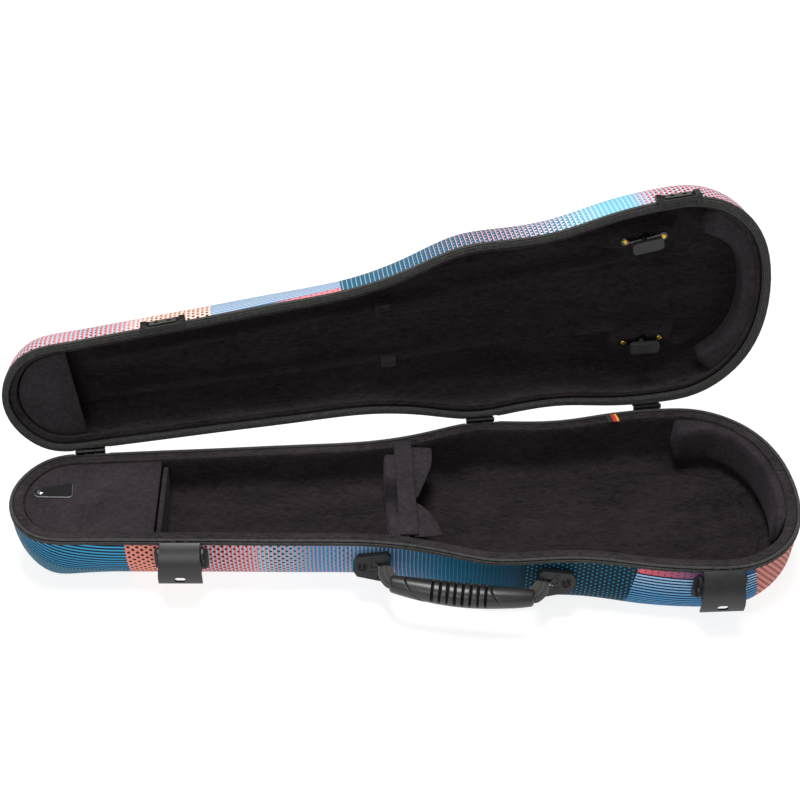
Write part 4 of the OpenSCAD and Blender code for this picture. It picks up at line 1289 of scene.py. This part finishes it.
def lathe(name, node, profile, slot, lift=0.0, sides=32):
    """A turned piece over a node's middle; profile is (radius, height)."""
    low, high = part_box(node)
    centre = (low + high) / 2 / MM
    angles = np.linspace(0, 2 * math.pi, sides, endpoint=False)
    sections = [
        np.column_stack([radius * np.cos(angles), radius * np.sin(angles), np.full(sides, z)])
        for radius, z in profile
    ]
    points, faces, uv = loft(sections)
    height = high.z / MM - profile[-1][1] + lift
    place = Matrix.Translation(Vector((centre.x, centre.y, height)))
    piece = make(name, points, faces, MATERIALS[slot], BODIES[node], place, uv, 40)
    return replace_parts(piece, node)


build_tab()


# ---- Latch springs: a coil with two legs on each pin
def build_springs():
    parts = []
    for lever in ("latch_left_press", "latch_right_press"):
        joint = JOINTS[lever]
        centre = np.array(joint["pos_m"]) / MM
        along = np.array(joint["axis"])
        along = along / np.linalg.norm(along)
        aside = np.cross(along, [0, 0, 1])
        turns, radius = 7, 2.35
        path = []
        for i in range(turns * 16 + 1):
            t = i / (turns * 16)
            angle = 2 * math.pi * turns * t
            path.append(
                centre
                + along * (t - 0.5) * 8.6
                + aside * radius * math.cos(angle)
                + np.array([0, 0, 1]) * radius * math.sin(angle)
            )
        path.insert(0, path[0] + np.array([0, 0, -7.0]))
        path.append(path[-1] + np.array([0, 0, -7.0]))
        parts.append(loft(tube(path, 0.42, 6)))
    points, faces, uv = join_parts(parts)
    piece = make(
        "torsion_springs", points, faces, MATERIALS["steel"], "base", Matrix.Identity(4), uv, 60
    )
    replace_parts(piece, "latch_springs")


build_springs()

# ---- Handle
SWING_AXIS = Vector(HANDLE["axis"]).normalized()
GRIP_REACH, GRIP_BOW, GRIP_LIFT = 24.0, 6.0, 3.0
GRIP_START = 7.0
GRIP_DIAMETER = 24.0


def handle_place():
    """Local frame of the handle: X along the swing axis from its left end, -Y outwards."""
    middle = Vector(HANDLE["pos_m"]) / MM
    turn = math.atan2(SWING_AXIS.y, SWING_AXIS.x)
    return Matrix.Translation(middle) @ Matrix.Rotation(turn, 4, "Z")


HANDLE_STATIONS = (368, 522)
SWING = math.dist(*[(s, half_width(s)) for s in HANDLE_STATIONS])


def build_grip():
    rings, sides = 261, 64
    grooves = [mix(0.30, 0.67, i / 7) for i in range(8)]
    sections, slot_shade_weights = [], []
    for j in range(rings):
        t = j / (rings - 1)
        x = GRIP_START + 2.5 + (SWING - 2 * GRIP_START - 5) * t - SWING / 2
        swell = math.sin(math.pi * t) ** 0.7
        radius = mix(7.8, GRIP_DIAMETER / 2, swell)
        radius *= 1 - 0.12 * float(smooth(0.975, 1.0, abs(2 * t - 1)))
        middle_y = -GRIP_REACH - GRIP_BOW * math.sin(math.pi * t)
        slot = sum(math.exp(-(((t - g) / 0.0085) ** 6)) for g in grooves)
        row, slot_shade_row = [], []
        for c in range(sides):
            turn = 2 * math.pi * c / sides
            # The upper and outer side carries the slots; the palm side is smooth.
            toward = math.cos(turn - math.radians(142))
            open_side = float(smooth(-0.12, 0.06, toward))
            lip = 0.19 - 0.085 * math.cos(turn - math.radians(90))
            edge = t - lip if t < 0.5 else 1 - t - (0.40 - lip)
            seam = math.exp(-((edge / 0.006) ** 4)) * open_side
            inside = float(smooth(0.0, 0.01, edge)) * open_side
            cut = max(slot * open_side, 0.8 * seam)
            r = radius - 1.9 * slot * open_side - 0.9 * seam - 0.5 * inside
            row.append((x, middle_y + r * math.cos(turn), GRIP_LIFT + r * math.sin(turn)))
            slot_shade_row.append(cut)
        sections.append(np.array(row))
        slot_shade_weights += slot_shade_row
    points, faces, uv = loft(sections)
    piece = make(
        "grip", points, faces, MATERIALS["grip_rubber"], "handle", handle_place(), uv, 50
    )
    # Faces in the slots and along the sleeve seams take the near-black painted shade.
    piece.data.materials.append(MATERIALS["painted_groove_shade"])
    slot_shade_weights = np.array(slot_shade_weights + [0, 0])
    for face in piece.data.polygons:
        if slot_shade_weights[list(face.vertices)].mean() > 0.55:
            face.material_index = 1
    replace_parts(piece, "handle_grip")


def build_webbing(name, node, side):
    """A flat tube of braid from the bar, slanting out and into the end of the grip."""
    anchor = -side * SWING / 2
    way = np.array(
        [
            (1.0, 2.0, 2.0), (1.8, -3, 2.2), (3.2, -8.5, 2.2), (5.4, -14, 2.2), (8.6, -18.6, 2.4),
            (12.6, -22, 2.8), (17, -24.2, 3.0), (22, -25.2, 3.0),
        ]
    )
    count = 44
    fine = np.linspace(0, len(way) - 1, count)
    path = np.column_stack([np.interp(fine, range(len(way)), way[:, k]) for k in range(3)])
    for _ in range(8):
        path[1:-1] = (path[:-2] + 2 * path[1:-1] + path[2:]) / 4
    sections = []
    leaning = np.array([0, 0.78, -0.62])
    for i in range(count):
        t = i / (count - 1)
        ahead = path[min(i + 1, count - 1), :2] - path[max(i - 1, 0), :2]
        ahead /= np.linalg.norm(ahead)
        ahead = np.array([ahead[0], ahead[1], 0])
        across = np.cross(ahead, leaning)
        across /= np.linalg.norm(across)
        out = np.cross(across, ahead)
        half_wide = mix(5.6, 8.0, float(smooth(0.02, 0.3, t))) - 1.6 * float(smooth(0.6, 0.8, t))
        half_thick = mix(3.0, 4.2, float(smooth(0.1, 0.5, t)))
        row = []
        for c in range(28):
            turn = 2 * math.pi * c / 28
            wide = half_wide * math.copysign(abs(math.cos(turn)) ** 0.75, math.cos(turn))
            thick = half_thick * math.copysign(abs(math.sin(turn)) ** 0.85, math.sin(turn))
            at = path[i] + across * wide + out * thick
            row.append((anchor + side * at[0], at[1], at[2]))
        sections.append(np.array(row))
    points, faces, uv = loft(sections)
    piece = make(
        name, points, faces, MATERIALS["webbing"], "handle", handle_place(), uv, 60
    )
    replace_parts(piece, node)


build_grip()
build_webbing("webbing_left", "handle_strap_left", 1)
build_webbing("webbing_right", "handle_strap_right", -1)

# ---- Fittings: the CAD shapes with moulded or pressed edges
def near_side(s):
    """A frame on the near side: X along it, -Y outwards, the rim plane at z = 0."""
    return Matrix.Translation((s - HALF_LENGTH, -half_width(s), 0)) @ Matrix.Rotation(
        -slope(s), 4, "Z"
    )


def build_lever(node, joint_name):
    """The lever, its plate a little wider towards its lower edge."""
    piece = soften(node, MATERIALS["lever_plastic"], 0.7, 3)
    joint = JOINTS[joint_name]
    centre = Vector(joint["pos_m"])
    along = Vector(joint["axis"]).normalized()
    for vertex in piece.data.vertices:
        share = (vertex.co - centre).dot(along)
        grow = 0.1 * float(smooth(4, 30, RIM_Z - vertex.co.z / MM))
        vertex.co += along * share * grow


def torus(centre, large, small):
    """A ring round Y at a centre, as points, faces and coordinates."""
    points, sides, rounds = [], 10, 36
    for i in range(rounds):
        turn = 2 * math.pi * i / rounds
        for c in range(sides):
            roll = 2 * math.pi * c / sides
            reach = large + small * math.cos(roll)
            points.append(
                (
                    centre[0] + reach * math.cos(turn),
                    centre[1] + small * math.sin(roll),
                    centre[2] + reach * math.sin(turn),
                )
            )
    faces = []
    for i in range(rounds):
        for c in range(sides):
            a, b = i * sides + c, i * sides + (c + 1) % sides
            n = sides * rounds
            faces.append((a, b, (b + sides) % n, (a + sides) % n))
    return np.array(points), faces, np.zeros((len(points), 2))


def block_part(low, high, shear=0.0):
    """A box with its far end along Z slid along X by shear."""
    points = [
        (x + (shear if z == high[2] else 0), y, z)
        for x in (low[0], high[0])
        for y in (low[1], high[1])
        for z in (low[2], high[2])
    ]
    faces = [(0, 1, 3, 2), (4, 6, 7, 5), (0, 4, 5, 1), (2, 3, 7, 6), (0, 2, 6, 4), (1, 5, 7, 3)]
    return np.array(points, float), faces, np.zeros((8, 2))


MOUNT_PLACES = [(357, 10, 1), (533, 5, -1)]
MOUNT_TOP, MOUNT_HEIGHT = -11, 32


def build_mount_rings():
    """Moulded rings round each mount's rivet and beside its webbing."""
    for name, (s, tilt, side) in zip(("left", "right"), MOUNT_PLACES):
        place = ON_BASE @ near_side(s) @ Matrix.Translation((0, 0.4, MOUNT_TOP))
        place = place @ Matrix.Rotation(math.radians(-tilt), 4, "X")
        place = place @ Matrix.Translation((0, 0, -MOUNT_HEIGHT / 2))
        parts = [torus((-9 * side, -6.1, 0), 4.7, 0.8), torus((2.6 * side, -6.1, 3), 3.6, 0.7)]
        for step in range(5):
            x = (-2.6 + step * 1.5) * side
            parts.append(block_part((x - 0.35, -6.5, -9), (x + 0.35, -5.9, -4)))
            parts.append(block_part((x - 0.35, -6.5, 7), (x + 0.35, -5.9, 11)))
        # A black plate fills the pocket behind the webbing, a painted shade so the pocket reads dark instead of
        # showing the cover.
        pocket = sorted((4.5 * side, 17.0 * side))
        parts.append(block_part((pocket[0], -0.9, -11), (pocket[1], 0.1, 6)))
        points, faces, uv = join_parts(parts)
        make(
            f"mount_rings_{name}", points, faces, MATERIALS["black_plastic"], "base",
            place, uv, 50,
        )


LATCH_STATIONS = (173, 687)


def build_strike_details():
    """Each strike's inner plate, dark ovals and a strip of painted shade where its slots and the gap above the
    plate lie, end lugs and the nibs over the binding.
    """
    for name, s in zip(("left", "right"), LATCH_STATIONS):
        place = ON_LID @ near_side(s)
        plate = [block_part((-13, -4.1, -7.4), (13, -3.1, -0.9))]
        rim = [
            block_part((-22, -4.4, -9.2), (-16.5, -3.1, 2.9)),
            block_part((16.5, -4.4, -9.2), (22, -3.1, 2.9)),
            block_part((-16.6, -3.7, 1.4), (16.6, -3.1, 3.0)),
        ]
        for side in (-1, 1):
            x = 19.2 * side
            nib = np.array(
                [(x - 3.6, -4.4, 0.0), (x + 3.6, -4.4, 0.0), (x, 5.2, 0.0)]
                + [(x - 3.6, -4.4, 3.0), (x + 3.6, -4.4, 3.0), (x, 5.2, 0.75)]
            )
            rim.append(
                (nib, [(0, 1, 2), (3, 5, 4), (0, 3, 4, 1), (1, 4, 5, 2), (2, 5, 3, 0)], np.zeros((6, 2)))
            )
        slots = []
        # Painted shade: flat near-black ovals stand for the shade inside the slots, and a strip for the shade
        # above the plate.
        for x in (-6.3, 6.3):
            angles = np.linspace(0, 2 * math.pi, 20, endpoint=False)
            ovals = [
                np.column_stack(
                    [x + 2.3 * np.cos(angles), np.full(20, y), -4.4 + 1.5 * np.sin(angles)]
                )
                for y in (-4.18, -4.0)
            ]
            slots.append(loft(ovals))
        slots.append(block_part((-13.2, -4.0, -0.9), (13.2, -3.3, 0.1)))
        for label, parts, material in (
            ("plate", plate, "strike_plate"), ("lugs", rim, "strike_lug"), ("slots", slots, "painted_groove_shade"),
        ):
            points, faces, uv = join_parts(parts)
            make(
                f"strike_{label}_{name}", points, faces, MATERIALS[material], "lid",
                place, uv, 30,
            )


build_lever("latch_lever_left", "latch_left_press")
build_lever("latch_lever_right", "latch_right_press")
build_mount_rings()
build_strike_details()
for node, bevel in (
    ("latch_bracket_left", 0.5),
    ("latch_bracket_right", 0.5),
    ("handle_mount_left", 0.8),
    ("handle_mount_right", 0.8),
    ("strike_frame_left", 0.35),
    ("strike_frame_right", 0.35),
):
    soften(node, MATERIALS["black_plastic"], bevel, 3)
for node in ("bow_holder_plate_upper", "bow_holder_plate_lower"):
    soften(node, MATERIALS["gloss_black"], 0.35, 3)
for node in ("bow_paddle_upper", "bow_paddle_lower"):
    soften(node, MATERIALS["grey_plastic"], 0.9, 4)
for node in ("hinge_leaves_base", "hinge_leaves_lid"):
    soften(node, MATERIALS["black_metal"], 0.2)
for node in ("hinge_rivets_base", "hinge_rivets_lid", "latch_rivets", "handle_rivets", "strike_rivets"):
    soften(node, MATERIALS["black_metal"], 0.3, 3)
soften("bow_holder_screws", MATERIALS["brass_screw"], 0.12)
for node in ("bow_spindle_upper", "bow_spindle_lower"):
    soften(node, MATERIALS["grey_plastic"], 0.25)
for node in ("hinge_pins", "latch_pins", "handle_bars"):
    soften(node, MATERIALS["steel"], 0.25)


# ---- Floor and light
def make_floor():
    mesh = bpy.data.meshes.new("floor")
    half = 12.0
    mesh.from_pydata(
        [(-half, -half, 0), (half, -half, 0), (half, half, 0), (-half, half, 0)], [], [(0, 1, 2, 3)]
    )
    floor = bpy.data.objects.new("floor", mesh)
    bpy.context.scene.collection.objects.link(floor)
    g = Graph("floor", roughness=0.9, specular=0.0)
    g.set_input("Base Color", (0.3, 0.3, 0.3, 1))
    g.set_input("Emission Color", (1, 1, 1, 1))
    g.set_input("Emission Strength", 0.82)
    mesh.materials.append(g.material)


def area_light(name, place, target, size, watts):
    data = bpy.data.lights.new(name, "AREA")
    data.shape = "RECTANGLE"
    data.size, data.size_y = size
    data.energy = watts
    light = bpy.data.objects.new(name, data)
    bpy.context.scene.collection.objects.link(light)
    light.location = place
    light.rotation_euler = (Vector(target) - Vector(place)).to_track_quat("-Z", "Y").to_euler()


make_floor()
world = bpy.data.worlds.new("studio")
bpy.context.scene.world = world
world.use_nodes = True
world.node_tree.nodes["Background"].inputs[0].default_value = (1, 1, 1, 1)
world.node_tree.nodes["Background"].inputs[1].default_value = 0.26
area_light("key", (-0.7, -2.2, 1.5), (0, 0, 0.1), (1.4, 1.0), 20)
area_light("top", (-0.15, 0.0, 2.2), (0, 0.05, 0.1), (1.1, 0.6), 56)
bpy.context.scene.view_settings.view_transform = "Standard"
